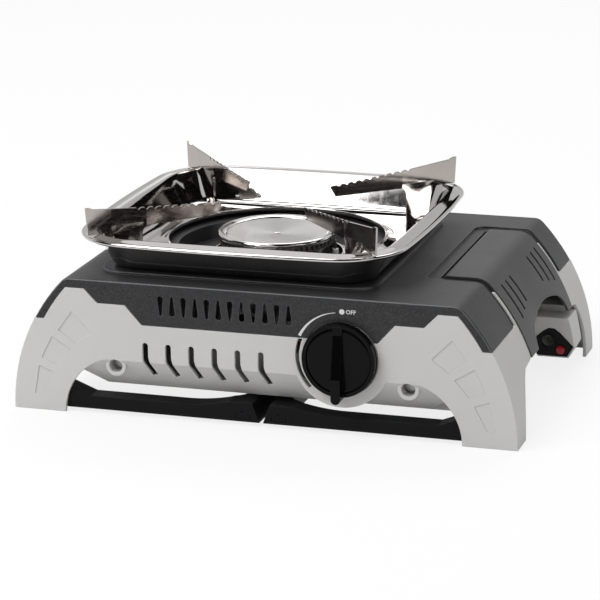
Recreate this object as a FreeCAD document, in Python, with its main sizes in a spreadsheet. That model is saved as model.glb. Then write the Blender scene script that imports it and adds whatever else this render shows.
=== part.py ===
import FreeCAD, Part
import os
import re
import Sketcher
from FreeCAD import Vector

# Driving sizes of the stove, in millimetres.
# x runs across the front, y from front to back, z up from the floor.
sizes = {
    # casing outline, the same seen from the front and from behind
    "foot_half": 194.0,
    "depth": 256.0,
    "top_height": 104.1,
    "side_radius": 146.0,
    "foot_top_z": 73.0,
    "shell_wall": 2.0,
    "housing_wall": 2.5,
    "seam": 0.3,
    "edge_round": 1.6,
    "bend_round": 9.0,
    "lid_bend": 16.0,
    # lower edge of the dark top shell on the front and the back
    "skirt_z": 72.3,
    "skirt_flat_x": 90.0,
    "skirt_step_x": 103.0,
    "skirt_step_z": 86.8,
    "skirt_rise_x": 124.5,
    "skirt_peak_x": 135.0,
    "skirt_peak_z": 97.3,
    "skirt_strip": 7.0,
    # belly of the housing and its feet
    "belly_z": 20.0,
    "belly_half_x": 125.0,
    "belly_half_y": 110.0,
    "bevel_z": 43.5,
    "tub_half_x": 160.0,
    "tub_top_z": 66.0,
    "foot_inner_x": 153.0,
    "foot_arch": 45.0,
    "foot_side_y": 25.0,
    "foot_notch_y": 53.0,
    "foot_rear_notch_y": 33.0,
    "foot_notch_z": 45.0,
    "panel_depth": 0.5,
    # cartridge lid on the right
    "lid_left_x": 118.5,
    "lid_front_y": -54.0,
    "lid_rear_y": 82.0,
    "lid_low_z": 47.0,
    "lid_wall": 2.0,
    "lid_roll": 4.5,
    "lid_seat": 3.0,
    "lid_gap": 0.4,
    "lid_corner": 9.0,
    "groove_margin": 10.0,
    "groove_depth": 1.6,
    "lid_slot": 3.2,
    "lid_strip": 3.6,
    "grip_front_y": -32.0,
    "grip_rear_y": 70.0,
    "grip_height": 21.0,
    "grip_corner": 20.0,
    "grip_arch": 124.0,
    "hinge_pin": 1.2,
    "hinge_ear": 6.0,
    "pin_clearance": 0.05,
    # burner well and the raised platform under the tray
    "burner_x": -26.0,
    "platform_half": 108.0,
    "platform_round": 22.0,
    "platform_rise": 2.0,
    "well_radius": 76.0,
    "well_depth": 12.0,
    "well_hole": 53.5,
    # vents in the dark skirt and slots in the pale front
    "vent_pitch": 8.98,
    "vent_first_x": -75.2,
    "vent_low_z": 80.5,
    "vent_height": 15.0,
    "vent_wide": 4.6,
    "vent_narrow": 1.9,
    "slot_pitch": 17.96,
    "slot_first_x": -88.0,
    "slot_width": 4.4,
    "slot_top_z": 58.6,
    "slot_bend_z": 45.5,
    "slot_low_z": 31.4,
    "slot_lean": 4.2,
    # control knob and its boss
    "knob_x": 62.6,
    "knob_z": 58.7,
    "knob_radius": 27.5,
    "knob_disc": 6.2,
    "knob_proud": 15.0,
    "knob_travel": 3.0,
    "knob_gap": 0.6,
    "knob_rim_gap": 0.8,
    "knob_well": 3.6,
    "hub_radius": 6.0,
    "grip_bar": 7.0,
    "grip_tail": 30.5,
    "boss_radius": 37.2,
    "dial_slot_inner": 31.4,
    "dial_slot_outer": 34.3,
    "shaft_radius": 3.5,
    "shaft_clearance": 0.08,
    # screws
    "screw_x": 112.5,
    "screw_z": 38.6,
    "screw_recess": 5.2,
    "screw_boss": 8.0,
    "screw_head": 3.6,
    "screw_shank": 1.8,
    # stainless drip tray
    "tray_half": 129.0,
    "tray_bow": 2.6,
    "tray_corner": 50.0,
    "tray_top_z": 133.0,
    "tray_sheet": 1.0,
    "tray_band": 14.0,
    "tray_bead": 2.0,
    "tray_floor_half": 101.0,
    "tray_lift": 0.3,
    "tray_hole": 82.8,
    "tray_lip_z": 110.5,
    # pot supports, measured out from the burner axis along the diagonal
    "support_sheet": 1.4,
    "support_tip_r": 158.5,
    "support_tip_z": 153.8,
    "support_horn_r": 117.5,
    "support_horn_z": 149.0,
    "support_inner_r": 46.0,
    "support_inner_z": 144.0,
    "support_arm_z": 135.5,
    "support_leg_in_r": 112.5,
    "support_leg_out_r": 135.0,
    "support_bulge": 5.0,
    "tooth_pitch": 6.8,
    "tooth_depth": 1.9,
    # burner
    "cap_radius": 45.6,
    "cap_rim_z": 116.8,
    "cap_rim_width": 5.0,
    "cap_dish": 3.6,
    "ring_radius": 44.6,
    "ring_inner": 30.0,
    "ring_height": 5.0,
    "flame_teeth": 60.0,
    "flame_slot": 1.7,
    "flame_depth": 4.0,
    "base_radius": 44.0,
    "base_wall": 3.0,
    "guard_radius": 51.0,
    "guard_z": 98.0,
    "sleeve_radius": 2.4,
    "sleeve_length": 16.0,
    "wire_radius": 0.8,
    "mix_radius": 11.0,
    "mix_z": 62.0,
    "mix_length": 58.0,
    # gas parts
    "pipe_radius": 3.0,
    "pipe_inset": 9.0,
    "pipe_bend": 15.0,
    "nozzle_radius": 4.5,
    "nozzle_bore": 0.6,
    "valve_size": 26.0,
    "valve_depth": 22.0,
    "cartridge_x": 122.0,
    "cartridge_z": 59.0,
    "cartridge_radius": 33.5,
    "cartridge_room": 1.5,
    "regulator_radius": 14.0,
    "regulator_can": 13.0,
    "regulator_length": 17.5,
    "regulator_nose": 8.0,
    "magnet_radius": 13.0,
    "cradle_wall": 1.0,
    # folding legs under the belly
    "leg_low_z": 3.0,
    "leg_height": 10.0,
    "leg_end_height": 14.4,
    "leg_arm": 14.5,
    "leg_front": 3.0,
    "leg_bar": 15.0,
    "leg_gap": 2.8,
    "leg_slant": 5.4,
    "leg_rise_low_x": 62.0,
    "leg_rise_high_x": 25.0,
    "leg_mark_x": 13.8,
    "leg_pivot_x": 160.0,
    "leg_pivot_z": 9.0,
    "leg_pin": 2.0,
    "lug_thick": 4.0,
    # gas hose inlet at the right
    "inlet_front_y": 66.0,
    "inlet_depth": 32.0,
    "inlet_left_x": 161.5,
    "inlet_right_x": 193.4,
    "inlet_low_z": 9.3,
    "inlet_top_z": 41.5,
    "inlet_recess": 3.0,
    "port_x": 171.4,
    "port_z": 22.3,
    "port_radius": 6.4,
    "port_bore": 4.8,
    "cap_x": 181.6,
    "cap_z": 15.8,
    "red_radius": 3.6,
}

doc = FreeCAD.newDocument("CassetteStove")
sheet = doc.addObject("Spreadsheet::Sheet", "Sizes")
for row, (name, number) in enumerate(sizes.items(), 1):
    sheet.set(f"A{row}", name)
    sheet.set(f"B{row}", str(number))
    sheet.setAlias(f"B{row}", name)
doc.recompute()


# Helpers: every length is a formula of words from the sheet

def cells(formula):
    return re.sub(
        r"[a-z][a-z_0-9]*",
        lambda word: "Sizes." + word.group() if word.group() in sizes else word.group(),
        formula,
    )


def value(formula):
    return float(sheet.evalExpression(cells(formula)))


def bind(thing, prop, formula):
    if re.search(r"[a-z]", formula):
        thing.setExpression(prop, cells(formula))
    return value(formula)


def new_body(name):
    return doc.addObject("PartDesign::Body", name)


def origin_plane(body, plane):
    role = plane + "_Plane"
    return next(part for part in body.Origin.OriginFeatures if part.Role == role)


def arc_centre(start, end, radius):
    chord = end - start
    middle = (start + end) * 0.5
    rise = max(radius * radius - chord.Length * chord.Length / 4, 0.0) ** 0.5
    side = Vector(-chord.y, chord.x, 0).normalize()
    return middle + side * rise


# A loop is a list of corners (x, y) or (x, y, radius): the radius bends the edge that
# follows, to the left when positive and to the right when negative. A circle is
# ("circle", x, y, radius).
def draw_loop(sketch, loop):
    if loop[0] == "circle":
        x, y, radius = loop[1:]
        circle = sketch.addGeometry(
            Part.Circle(Vector(value(x), value(y), 0), Vector(0, 0, 1), value(radius)), False
        )
        pin_point(sketch, circle, 3, x, y)
        size = sketch.addConstraint(Sketcher.Constraint("Radius", circle, value(radius)))
        bind(sketch, f"Constraints[{size}]", radius)
        return
    corners = [Vector(value(corner[0]), value(corner[1]), 0) for corner in loop]
    edges = []
    for index, corner in enumerate(loop):
        start = corners[index]
        end = corners[(index + 1) % len(loop)]
        if len(corner) == 2:
            edges.append((sketch.addGeometry(Part.LineSegment(start, end), False), 1, 2))
            continue
        radius = value(corner[2])
        turn = 1 if radius > 0 else -1
        first, last = (start, end) if turn > 0 else (end, start)
        centre = arc_centre(first, last, abs(radius))
        circle = Part.Circle(centre, Vector(0, 0, 1), abs(radius))
        arc = Part.ArcOfCircle(circle, circle.parameter(first), circle.parameter(last))
        number = sketch.addGeometry(arc, False)
        edges.append((number, 1, 2) if turn > 0 else (number, 2, 1))
    for index, corner in enumerate(loop):
        number, start, end = edges[index]
        following, its_start, its_end = edges[(index + 1) % len(loop)]
        sketch.addConstraint(Sketcher.Constraint("Coincident", number, end, following, its_start))
        pin_point(sketch, number, start, corner[0], corner[1])
        if len(corner) == 3:
            radius = corner[2].lstrip("-")
            size = sketch.addConstraint(Sketcher.Constraint("Radius", number, value(radius)))
            bind(sketch, f"Constraints[{size}]", radius)


def pin_point(sketch, number, point, x, y):
    for kind, formula in (("DistanceX", x), ("DistanceY", y)):
        held = sketch.addConstraint(
            Sketcher.Constraint(kind, -1, 1, number, point, value(formula))
        )
        bind(sketch, f"Constraints[{held}]", formula)


def new_sketch(body, name, plane, height, loops):
    sketch = body.newObject("Sketcher::SketchObject", name)
    sketch.AttachmentSupport = (origin_plane(body, plane), [""])
    sketch.MapMode = "FlatFace"
    if height != "0":
        sketch.AttachmentOffset = FreeCAD.Placement(
            Vector(0, 0, value(height)), FreeCAD.Rotation()
        )
        bind(sketch, "AttachmentOffset.Base.z", height)
    for loop in loops:
        draw_loop(sketch, loop)
    return sketch


def volume_of(body):
    doc.recompute()
    return body.Shape.Volume if body.Tip and not body.Shape.isNull() else 0.0


# The XZ plane faces the front, so its sketches sit at the far end and grow forward.
def pad(body, name, plane, low, high, *loops):
    before = volume_of(body)
    height = f"-({high})" if plane == "XZ" else low
    sketch = new_sketch(body, name + "Sketch", plane, height, loops)
    feature = body.newObject("PartDesign::Pad", name)
    feature.Profile = sketch
    feature.Refine = False
    feature.Length = value(f"({high}) - ({low})")
    bind(feature, "Length", f"({high}) - ({low})")
    if volume_of(body) <= before:
        raise RuntimeError(name + " adds nothing to " + body.Name)
    return feature


def pocket(body, name, plane, low, high, *loops):
    before = volume_of(body)
    height = f"-({low})" if plane == "XZ" else high
    sketch = new_sketch(body, name + "Sketch", plane, height, loops)
    feature = body.newObject("PartDesign::Pocket", name)
    feature.Profile = sketch
    feature.Refine = False
    feature.Length = value(f"({high}) - ({low})")
    bind(feature, "Length", f"({high}) - ({low})")
    if volume_of(body) >= before:
        raise RuntimeError(name + " cuts nothing from " + body.Name)
    return feature


def turned(body, name, *loops, kind="PartDesign::Revolution", plane="XZ"):
    sketch = new_sketch(body, name + "Sketch", plane, "0", loops)
    feature = body.newObject(kind, name)
    feature.Profile = sketch
    feature.ReferenceAxis = (sketch, ["V_Axis"])
    feature.Angle = 360
    feature.Refine = False
    return feature


def loft(body, name, kind, sections):
    made = [
        new_sketch(body, f"{name}Section{index}", "XY", height, [loop])
        for index, (height, loop) in enumerate(sections)
    ]
    feature = body.newObject(kind, name)
    feature.Profile = made[0]
    feature.Sections = [(section, [""]) for section in made[1:]]
    feature.Ruled = True
    feature.Refine = False
    return feature


def repeat(body, name, feature, axis, pitch, count):
    doc.recompute()
    pattern = body.newObject("PartDesign::LinearPattern", name)
    pattern.Originals = [feature]
    pattern.Direction = (next(p for p in body.Origin.OriginFeatures if p.Role == axis), [""])
    pattern.Length = value(f"{pitch}*({count} - 1)")
    bind(pattern, "Length", f"{pitch}*({count} - 1)")
    pattern.Occurrences = count
    pattern.Refine = False
    body.Tip = pattern
    return pattern


def repeat_round(body, name, feature, count):
    doc.recompute()
    pattern = body.newObject("PartDesign::PolarPattern", name)
    pattern.Originals = [feature]
    pattern.Axis = (next(p for p in body.Origin.OriginFeatures if p.Role == "Z_Axis"), [""])
    pattern.Angle = 360
    pattern.Occurrences = int(value(count))
    bind(pattern, "Occurrences", count)
    pattern.Refine = False
    body.Tip = pattern
    return pattern


def mirror(body, name, features, plane="YZ"):
    doc.recompute()
    copy = body.newObject("PartDesign::Mirrored", name)
    copy.Originals = features
    copy.MirrorPlane = (origin_plane(body, plane), [""])
    copy.Refine = False
    body.Tip = copy
    return copy


def soften(body, name, kind, size, wanted):
    doc.recompute()
    base = body.Tip
    edges = [f"Edge{n}" for n, edge in enumerate(base.Shape.Edges, 1) if wanted(edge)]
    if not edges:
        raise RuntimeError(name + " finds no edge on " + body.Name)
    feature = body.newObject("PartDesign::" + kind, name)
    feature.Base = (base, edges)
    prop = "Radius" if kind == "Fillet" else "Size"
    setattr(feature, prop, value(size))
    bind(feature, prop, size)
    return feature


# Seats a finished piece in the stove: the casing's middle is half the knob's reach
# behind the middle of the whole stove.
casing_y = "knob_proud/2"
pieces = []


def seat(piece, label, x="0", y="0", z="0", angle=0):
    if piece.TypeId == "PartDesign::Body":
        piece.Tip.Refine = True
    elif piece.TypeId != "Part::Compound":
        piece = together(piece.Name + "Piece", [piece])
    piece.Label = label
    y_formula = f"{casing_y} + ({y})"
    piece.Placement = FreeCAD.Placement(
        Vector(value(x), value(y_formula), value(z)), FreeCAD.Rotation(Vector(0, 0, 1), angle)
    )
    for axis, formula in (("x", x), ("y", y_formula), ("z", z)):
        bind(piece, f"Placement.Base.{axis}", formula)
    pieces.append(piece)
    return piece


def rectangle(x_low, x_high, y_low, y_high):
    return [(x_low, y_low), (x_high, y_low), (x_high, y_high), (x_low, y_high)]


def ring(x, y, outer, inner):
    return ("circle", x, y, outer), ("circle", x, y, inner)


# Outline of the casing from the front: flat top, and each side one long arc down to the feet

side_centre = "(foot_half - side_radius)"


def side_x(height, inset="0"):
    return f"({side_centre} + sqrt((side_radius - ({inset}))^2 - ({height})^2))"


# The bend between side and top keeps one centre for every inset
def casing_side(inset, low, bend="bend_round"):
    rise = f"(top_height - {bend})"
    reach = f"(side_radius - {bend})"
    across = f"sqrt({reach}^2 - {rise}^2)"
    scale = f"((side_radius - ({inset}))/{reach})"
    return [
        (side_x(low, inset), low, f"side_radius - ({inset})"),
        (f"{side_centre} + {across}*{scale}", f"{rise}*{scale}", f"{bend} - ({inset})"),
        (f"{side_centre} + {across}", f"top_height - ({inset})"),
    ]


def mirrored_corners(corners):
    flipped = []
    for index in range(len(corners) - 1, -1, -1):
        x, z = corners[index][:2]
        before = corners[index - 1] if index > 0 else ()
        bend = before[2:] if len(before) == 3 else ()
        flipped.append((f"-({x})", z) + bend)
    return flipped


def casing_loop(inset, low):
    right = casing_side(inset, low)
    return right + mirrored_corners(right)


def casing_band(outer, inner, left_x, low, bend="bend_round"):
    out = casing_side(outer, low, bend)
    inside = casing_side(inner, low, bend)
    return out + [
        (left_x, out[2][1]),
        (left_x, inside[2][1]),
        inside[2] + (f"-({inside[1][2]})",),
        inside[1][:2] + (f"-({inside[0][2]})",),
        inside[0][:2],
    ]


# Lower edge of the dark shell, with a gap for the pale housing that meets it

def skirt_edge(gap):
    strip_z = f"(foot_top_z - 1 - ({gap}))"
    peak_z = f"(skirt_peak_z - ({gap}))"
    return [
        (f"skirt_flat_x + ({gap})", f"skirt_z - ({gap})"),
        (f"skirt_step_x + ({gap})", f"skirt_step_z - ({gap})"),
        (f"skirt_rise_x + ({gap})", f"skirt_step_z - ({gap})"),
        (f"skirt_peak_x + ({gap})", peak_z),
        (f"{side_x(peak_z)} - skirt_strip - ({gap})", peak_z),
        (f"{side_x(strip_z)} - skirt_strip - ({gap})", strip_z, "side_radius"),
    ]


front_y = "-depth/2"
rear_y = "depth/2"
beyond = "foot_half + 6"
strip_z = "(foot_top_z - 1)"
lid_lift = "(lid_wall + seam - groove_depth)"
hinge_x = "(lid_left_x + lid_roll)"
hinge_z = f"(top_height + {lid_lift} - lid_roll)"


# Dark painted top shell: folded sides, skirt, burner well and the recess for the lid

def rounded_square(half, corner, bow="0", x="0"):
    if bow == "0":
        flat = f"({half} - {corner})"
        bend = (corner,)
        side = ()
        edge = half
    else:
        flat = f"({half} - {corner})"
        side_bend = f"(({flat}^2 + {bow}^2)/(2*{bow}))"
        lean = f"asin({flat}/{side_bend})"
        bend = (f"({half} - {bow} - {flat})/(cos({lean}) - sin({lean}))",)
        side = (side_bend,)
        edge = f"({half} - {bow})"
    corners = []
    for sx, sy, along in (
        ("-", "-", "x"), ("", "-", "x"), ("", "-", "y"), ("", "", "y"),
        ("", "", "x"), ("-", "", "x"), ("-", "", "y"), ("-", "-", "y"),
    ):
        px, py = (flat, edge) if along == "x" else (edge, flat)
        corners.append((f"{x} + ({sx}{px})", f"{sy}{py}"))
    return [corner + (side if index % 2 == 0 else bend) for index, corner in enumerate(corners)]


def make_top_shell():
    body = new_body("TopShell")
    pad(body, "Casing", "XZ", front_y, rear_y, casing_loop("0", "lid_low_z"))
    half_depth = value("depth/2")
    soften(
        body, "EdgeRound", "Fillet", "edge_round",
        lambda e: abs(abs(e.CenterOfMass.y) - half_depth) < 0.01
        and e.CenterOfMass.z > value("foot_top_z") + 1,
    )
    pocket(
        body, "Hollow", "XZ", f"{front_y} + shell_wall", f"{rear_y} - shell_wall",
        casing_loop("shell_wall", "lid_low_z - 4"),
    )
    edge = skirt_edge("0")
    low = "lid_low_z - 6"
    below = [(edge[-1][0], low)]
    right = below + edge[::-1]
    pocket(
        body, "SkirtEdge", "XZ", f"{front_y} - 1", f"{rear_y} + 1",
        right + mirrored_corners(right),
    )
    for name, start, end in (
        ("FrontFootRoom", f"{front_y} - 1", "lid_front_y"),
        ("RearFootRoom", "lid_rear_y", f"{rear_y} + 1"),
    ):
        pocket(body, name, "YZ", f"-({beyond})", beyond, rectangle(start, end, low, strip_z))
    left = "lid_left_x - groove_margin"
    start = "lid_front_y - groove_margin"
    end = "lid_rear_y + groove_margin"
    pocket(
        body, "LidRegion", "XY", low, "top_height + 5",
        [
            (f"{left} + lid_corner", start), (beyond, start), (beyond, end),
            (f"{left} + lid_corner", end, "lid_corner"), (left, f"{end} - lid_corner"),
            (left, f"{start} + lid_corner", "lid_corner"),
        ],
    )
    ledge = ("groove_depth", "groove_depth + shell_wall", f"{left} - shell_wall", strip_z)
    for name, low_y, high_y, bend in (
        ("FrontLedgeEnd", f"{start} - shell_wall", f"{start} + 0.5", "bend_round"),
        ("RearLedgeEnd", f"{end} - 0.5", f"{end} + shell_wall", "bend_round"),
        ("Ledge", start, end, "lid_bend"),
    ):
        pad(body, name, "XZ", low_y, high_y, casing_band(*ledge, bend))
    ear_left = f"{hinge_x} - lid_roll + 0.6"
    ear_right = f"{hinge_x} + lid_roll"
    for name, y_low, y_high in (
        ("FrontEar", "lid_front_y - lid_gap - hinge_ear", "lid_front_y - lid_gap"),
        ("RearEar", "lid_rear_y + lid_gap", "lid_rear_y + lid_gap + hinge_ear"),
    ):
        pad(
            body, name, "XZ", y_low, y_high,
            rectangle(ear_left, ear_right, f"{hinge_z} - lid_roll", "top_height - groove_depth - 1"),
        )
    gap_x = "lid_left_x - 3*lid_gap"
    roll_end = "lid_left_x + 2*lid_roll + lid_gap"
    pocket(
        body, "LidOpening", "XY", low, "top_height + 5",
        [
            (gap_x, "lid_front_y - lid_gap"),
            (roll_end, "lid_front_y - lid_gap"),
            (roll_end, "lid_front_y + lid_seat"),
            (beyond, "lid_front_y + lid_seat"),
            (beyond, "lid_rear_y - lid_seat"),
            (roll_end, "lid_rear_y - lid_seat"),
            (roll_end, "lid_rear_y + lid_gap"),
            (gap_x, "lid_rear_y + lid_gap"),
        ],
    )
    pocket(
        body, "HingeBore", "XZ", "lid_front_y - lid_gap - hinge_ear - 1",
        "lid_rear_y + lid_gap + hinge_ear + 1",
        ("circle", hinge_x, hinge_z, "hinge_pin + pin_clearance"),
    )
    pad(
        body, "Platform", "XY", "top_height - 0.5", "top_height + platform_rise",
        rounded_square("platform_half", "platform_round", x="burner_x"),
    )
    soften(
        body, "PlatformEdge", "Fillet", "platform_rise*0.6",
        lambda e: abs(e.CenterOfMass.z - value("top_height + platform_rise")) < 0.01,
    )
    pocket(
        body, "PlatformBack", "XY", "top_height - shell_wall - 1",
        "top_height + platform_rise - shell_wall",
        rounded_square("(platform_half - shell_wall)", "(platform_round - shell_wall)",
                       x="burner_x"),
    )
    well_top = "top_height + platform_rise"
    well_floor = f"{well_top} - well_depth"
    pocket(
        body, "WellOpening", "XY", well_floor, f"{well_top} + 1",
        ("circle", "burner_x", "0", "well_radius"),
    )
    pad(
        body, "WellWall", "XY", f"{well_floor} - shell_wall", well_top,
        *ring("burner_x", "0", "well_radius + shell_wall", "well_radius"),
    )
    pad(
        body, "WellFloor", "XY", f"{well_floor} - shell_wall", well_floor,
        *ring("burner_x", "0", "well_radius + shell_wall/2", "well_hole"),
    )
    wide = "vent_wide/2"
    narrow = "vent_narrow/2"
    for index, (name, low_half, high_half) in enumerate(
        (("VentDown", narrow, wide), ("VentUp", wide, narrow))
    ):
        middle = f"vent_first_x + {index}*vent_pitch"
        low_z = f"vent_low_z + {low_half}"
        high_z = f"vent_low_z + vent_height - {high_half}"
        cut = pocket(
            body, name, "XZ", f"{front_y} - 1", f"{front_y} + shell_wall + 1",
            [
                (f"{middle} + {low_half}", low_z),
                (f"{middle} + {high_half}", high_z, high_half),
                (middle, f"{high_z} + {high_half}", high_half),
                (f"{middle} - {high_half}", high_z),
                (f"{middle} - {low_half}", low_z, low_half),
                (middle, f"{low_z} - {low_half}", low_half),
            ],
        )
        repeat(body, name + "Row", cut, "X_Axis", "2*vent_pitch", 6)
    pocket(
        body, "KnobRecess", "XZ", f"{front_y} - 1", f"{front_y} + shell_wall + 1",
        ("circle", "knob_x", "knob_z", "knob_radius + knob_rim_gap"),
    )
    return seat(body, "top_shell")


# Pale housing: belly tub with bevelled ends, end walls and four hollow feet

def tub_sections(inset):
    low = rectangle(
        f"-(belly_half_x - {inset})", f"belly_half_x - {inset}",
        f"-(belly_half_y - {inset})", f"belly_half_y - {inset}",
    )
    high = rectangle(
        f"-(tub_half_x - {inset})", f"tub_half_x - {inset}",
        f"{front_y} + {inset}", f"{rear_y} - {inset}",
    )
    return [(f"belly_z + {inset}", low), ("bevel_z", high)]


def end_wall_loop():
    edge = skirt_edge("seam")
    top = f"({strip_z} - seam)"
    arch_x = "(foot_inner_x - foot_arch + sqrt(foot_arch^2 - bevel_z^2))"
    right = [
        (arch_x, "bevel_z", "-foot_arch"),
        ("foot_inner_x", "0"),
        ("foot_half", "0", "side_radius"),
        (side_x(top), top),
    ] + edge[::-1]
    return right + mirrored_corners(right)


def make_lower_housing():
    body = new_body("LowerHousing")
    loft(body, "Tub", "PartDesign::AdditiveLoft", tub_sections("0"))
    walls = rectangle("-tub_half_x", "tub_half_x", front_y, rear_y)
    pad(body, "TubWalls", "XY", "bevel_z", "tub_top_z", walls)
    boss_top = "(skirt_z - seam)"
    chord = f"sqrt(boss_radius^2 - ({boss_top} - knob_z)^2)"
    pad(
        body, "KnobBoss", "XZ", front_y, f"{front_y} + 16",
        [
            (f"knob_x + {chord}", boss_top), (f"knob_x - {chord}", boss_top, "boss_radius"),
            ("knob_x", "knob_z - boss_radius", "boss_radius"),
        ],
    )
    for name, start, end in (
        ("FrontWall", front_y, f"{front_y} + housing_wall"),
        ("RearWall", f"{rear_y} - housing_wall", rear_y),
    ):
        pad(body, name, "XZ", start, end, end_wall_loop())
    make_leg_lugs(body)
    bay_low = "belly_z"
    bay = [
        ("belly_half_x - 8", bay_low), ("belly_half_x + 21", bay_low),
        ("tub_half_x", f"{bay_low} + 14"), ("tub_half_x", "bevel_z + 2"),
        ("belly_half_x - 8", "bevel_z + 2"),
    ]
    pad(body, "BayBulge", "XZ", "-belly_half_y", "lid_rear_y - 4", bay)
    loft(body, "TubHollow", "PartDesign::SubtractiveLoft", tub_sections("housing_wall"))
    inside = [
        ("belly_half_x - 8", f"{bay_low} + housing_wall"),
        ("belly_half_x + 20", f"{bay_low} + housing_wall"),
        ("tub_half_x - housing_wall", f"{bay_low} + 15"),
        ("tub_half_x - housing_wall", "bevel_z + 2"), ("belly_half_x - 8", "bevel_z + 2"),
    ]
    pocket(
        body, "BayHollow", "XZ", "-belly_half_y + housing_wall",
        "lid_rear_y - 4 - housing_wall", inside,
    )
    inner = rectangle(
        "-(tub_half_x - housing_wall)", "tub_half_x - housing_wall",
        f"{front_y} + housing_wall", f"{rear_y} - housing_wall",
    )
    pocket(body, "TubInside", "XY", "bevel_z", "top_height", inner)
    pocket(
        body, "BossInside", "XZ", f"{front_y} + housing_wall", f"{front_y} + 18",
        ("circle", "knob_x", "knob_z", "boss_radius - housing_wall"),
    )
    well_back = f"{front_y} + knob_well"
    pad(
        body, "KnobPlate", "XZ", f"{front_y} + housing_wall - 0.1", f"{well_back} + housing_wall",
        ("circle", "knob_x", "knob_z", "knob_radius + knob_rim_gap + 1.5"),
    )
    pocket(
        body, "KnobWell", "XZ", f"{front_y} - 1", well_back,
        ("circle", "knob_x", "knob_z", "knob_radius + knob_rim_gap"),
    )
    pocket(
        body, "HubHole", "XZ", f"{well_back} - 1", f"{well_back} + housing_wall + 1",
        ("circle", "knob_x", "knob_z", "hub_radius + 1"),
    )
    make_dial_slot(body)
    sides = []
    for end, sign, edge_y in (("Front", "-", "lid_front_y - seam - 0.3"),
                              ("Rear", "", "lid_rear_y + seam + 0.3")):
        far = f"{sign}depth/2"
        foot_y = f"{sign}(depth/2 - foot_side_y)"
        notch_y = "-(depth/2 - foot_notch_y)" if sign else "depth/2 - foot_rear_notch_y"
        top = f"({strip_z} - seam)"
        if sign:
            outline = [
                (far, "0"), (foot_y, "0", "-(foot_notch_z*1.25)"), (notch_y, "foot_notch_z"),
                (edge_y, "lid_low_z"), (edge_y, top), (far, top),
            ]
        else:
            outline = [
                (far, "0"), (far, top), (edge_y, top), (edge_y, "lid_low_z"),
                (notch_y, "foot_notch_z", "-(foot_notch_z*1.25)"), (foot_y, "0"),
            ]
        block = pad(body, end + "Side", "YZ", "foot_inner_x + 8", "foot_half + 1", outline)
        inner_y = f"{sign}(depth/2 - housing_wall)"
        low_y, high_y = (inner_y, f"{edge_y} + 1") if sign else (f"{edge_y} - 1", inner_y)
        hollow = pocket(
            body, end + "SideHollow", "XZ", low_y, high_y,
            [
                ("tub_half_x", "-1"), ("foot_half - housing_wall", "-1"),
                ("foot_half - housing_wall", "0", "side_radius - housing_wall"),
                (side_x(top, "housing_wall"), top), (side_x(top, "housing_wall"), f"{top} + 1"),
                ("tub_half_x", f"{top} + 1"),
            ],
        )
        low_y, high_y = (f"{far} - 1", f"{edge_y} + 1") if sign else (f"{edge_y} - 1", f"{far} + 1")
        trim = pocket(
            body, end + "SideCurve", "XZ", low_y, high_y,
            [
                ("foot_half", "0", "side_radius"), (side_x(top), top), (side_x(top), f"{top} + 1"),
                ("foot_half + 2", f"{top} + 1"), ("foot_half + 2", "0"),
            ],
        )
        sides.append((end, edge_y, sign))
        mirror(body, end + "SideLeft", [block, hollow, trim])
    for end, edge_y, sign in sides:
        inner_y = f"{sign}(depth/2 - 1)"
        low_y, high_y = (inner_y, edge_y) if sign else (edge_y, inner_y)
        near_x = "tub_half_x - 1"
        far_x = side_x("lid_low_z") + " - 1"
        pad(
            body, end + "Shelves", "XY", "lid_low_z - housing_wall", "lid_low_z",
            rectangle(near_x, far_x, low_y, high_y),
            rectangle(f"-({far_x})", f"-({near_x})", low_y, high_y),
        )
        strip_low, strip_high = (
            (edge_y + " - lid_strip", edge_y) if sign else (edge_y, edge_y + " + lid_strip")
        )
        band = "(groove_depth - seam)"
        low_z = f"{strip_z} - 3"
        top_z = "(top_height - 9)"
        pad(
            body, end + "LidStrip", "XZ", strip_low, strip_high,
            [
                (side_x(low_z), low_z, "side_radius"), (side_x(top_z), top_z),
                (side_x(top_z, band), top_z, f"-(side_radius - {band})"),
                (side_x(low_z, band), low_z),
            ],
        )
    for end, face, inward in (("Front", front_y, "+"), ("Rear", rear_y, "-")):
        order = 1 if inward == "+" else -1
        for name, make, start, finish, radius in (
            ("ScrewBosses", pad, "2", "22", "screw_boss"),
            ("ScrewRecesses", pocket, "(-1)", "12", "screw_recess"),
            ("ScrewBores", pocket, "11", "23", "screw_shank + pin_clearance"),
        ):
            span = (f"{face} {inward} {start}", f"{face} {inward} {finish}")
            circles = [("circle", sx + "screw_x", "screw_z", radius) for sx in ("-", "")]
            make(body, end + name, "XZ", *span[::order], *circles)
    lean = "slot_lean"
    slot = pocket(
        body, "FrontSlot", "XZ", f"{front_y} - 1", f"{front_y} + 15",
        [
            ("slot_first_x - slot_width/2", "slot_top_z - slot_width/2"),
            ("slot_first_x - slot_width/2", "slot_bend_z"),
            (f"slot_first_x - slot_width/2 + {lean}", "slot_low_z"),
            (f"slot_first_x + slot_width/2 + {lean}", "slot_low_z + 1"),
            ("slot_first_x + slot_width/2", "slot_bend_z + 2"),
            ("slot_first_x + slot_width/2", "slot_top_z - slot_width/2", "slot_width/2"),
            ("slot_first_x", "slot_top_z", "slot_width/2"),
        ],
    )
    repeat(body, "FrontSlots", slot, "X_Axis", "slot_pitch", 6)
    make_foot_panels(body)
    return seat(body, "lower_housing")


# Three shallow panels step down each foot, front and back

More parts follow.
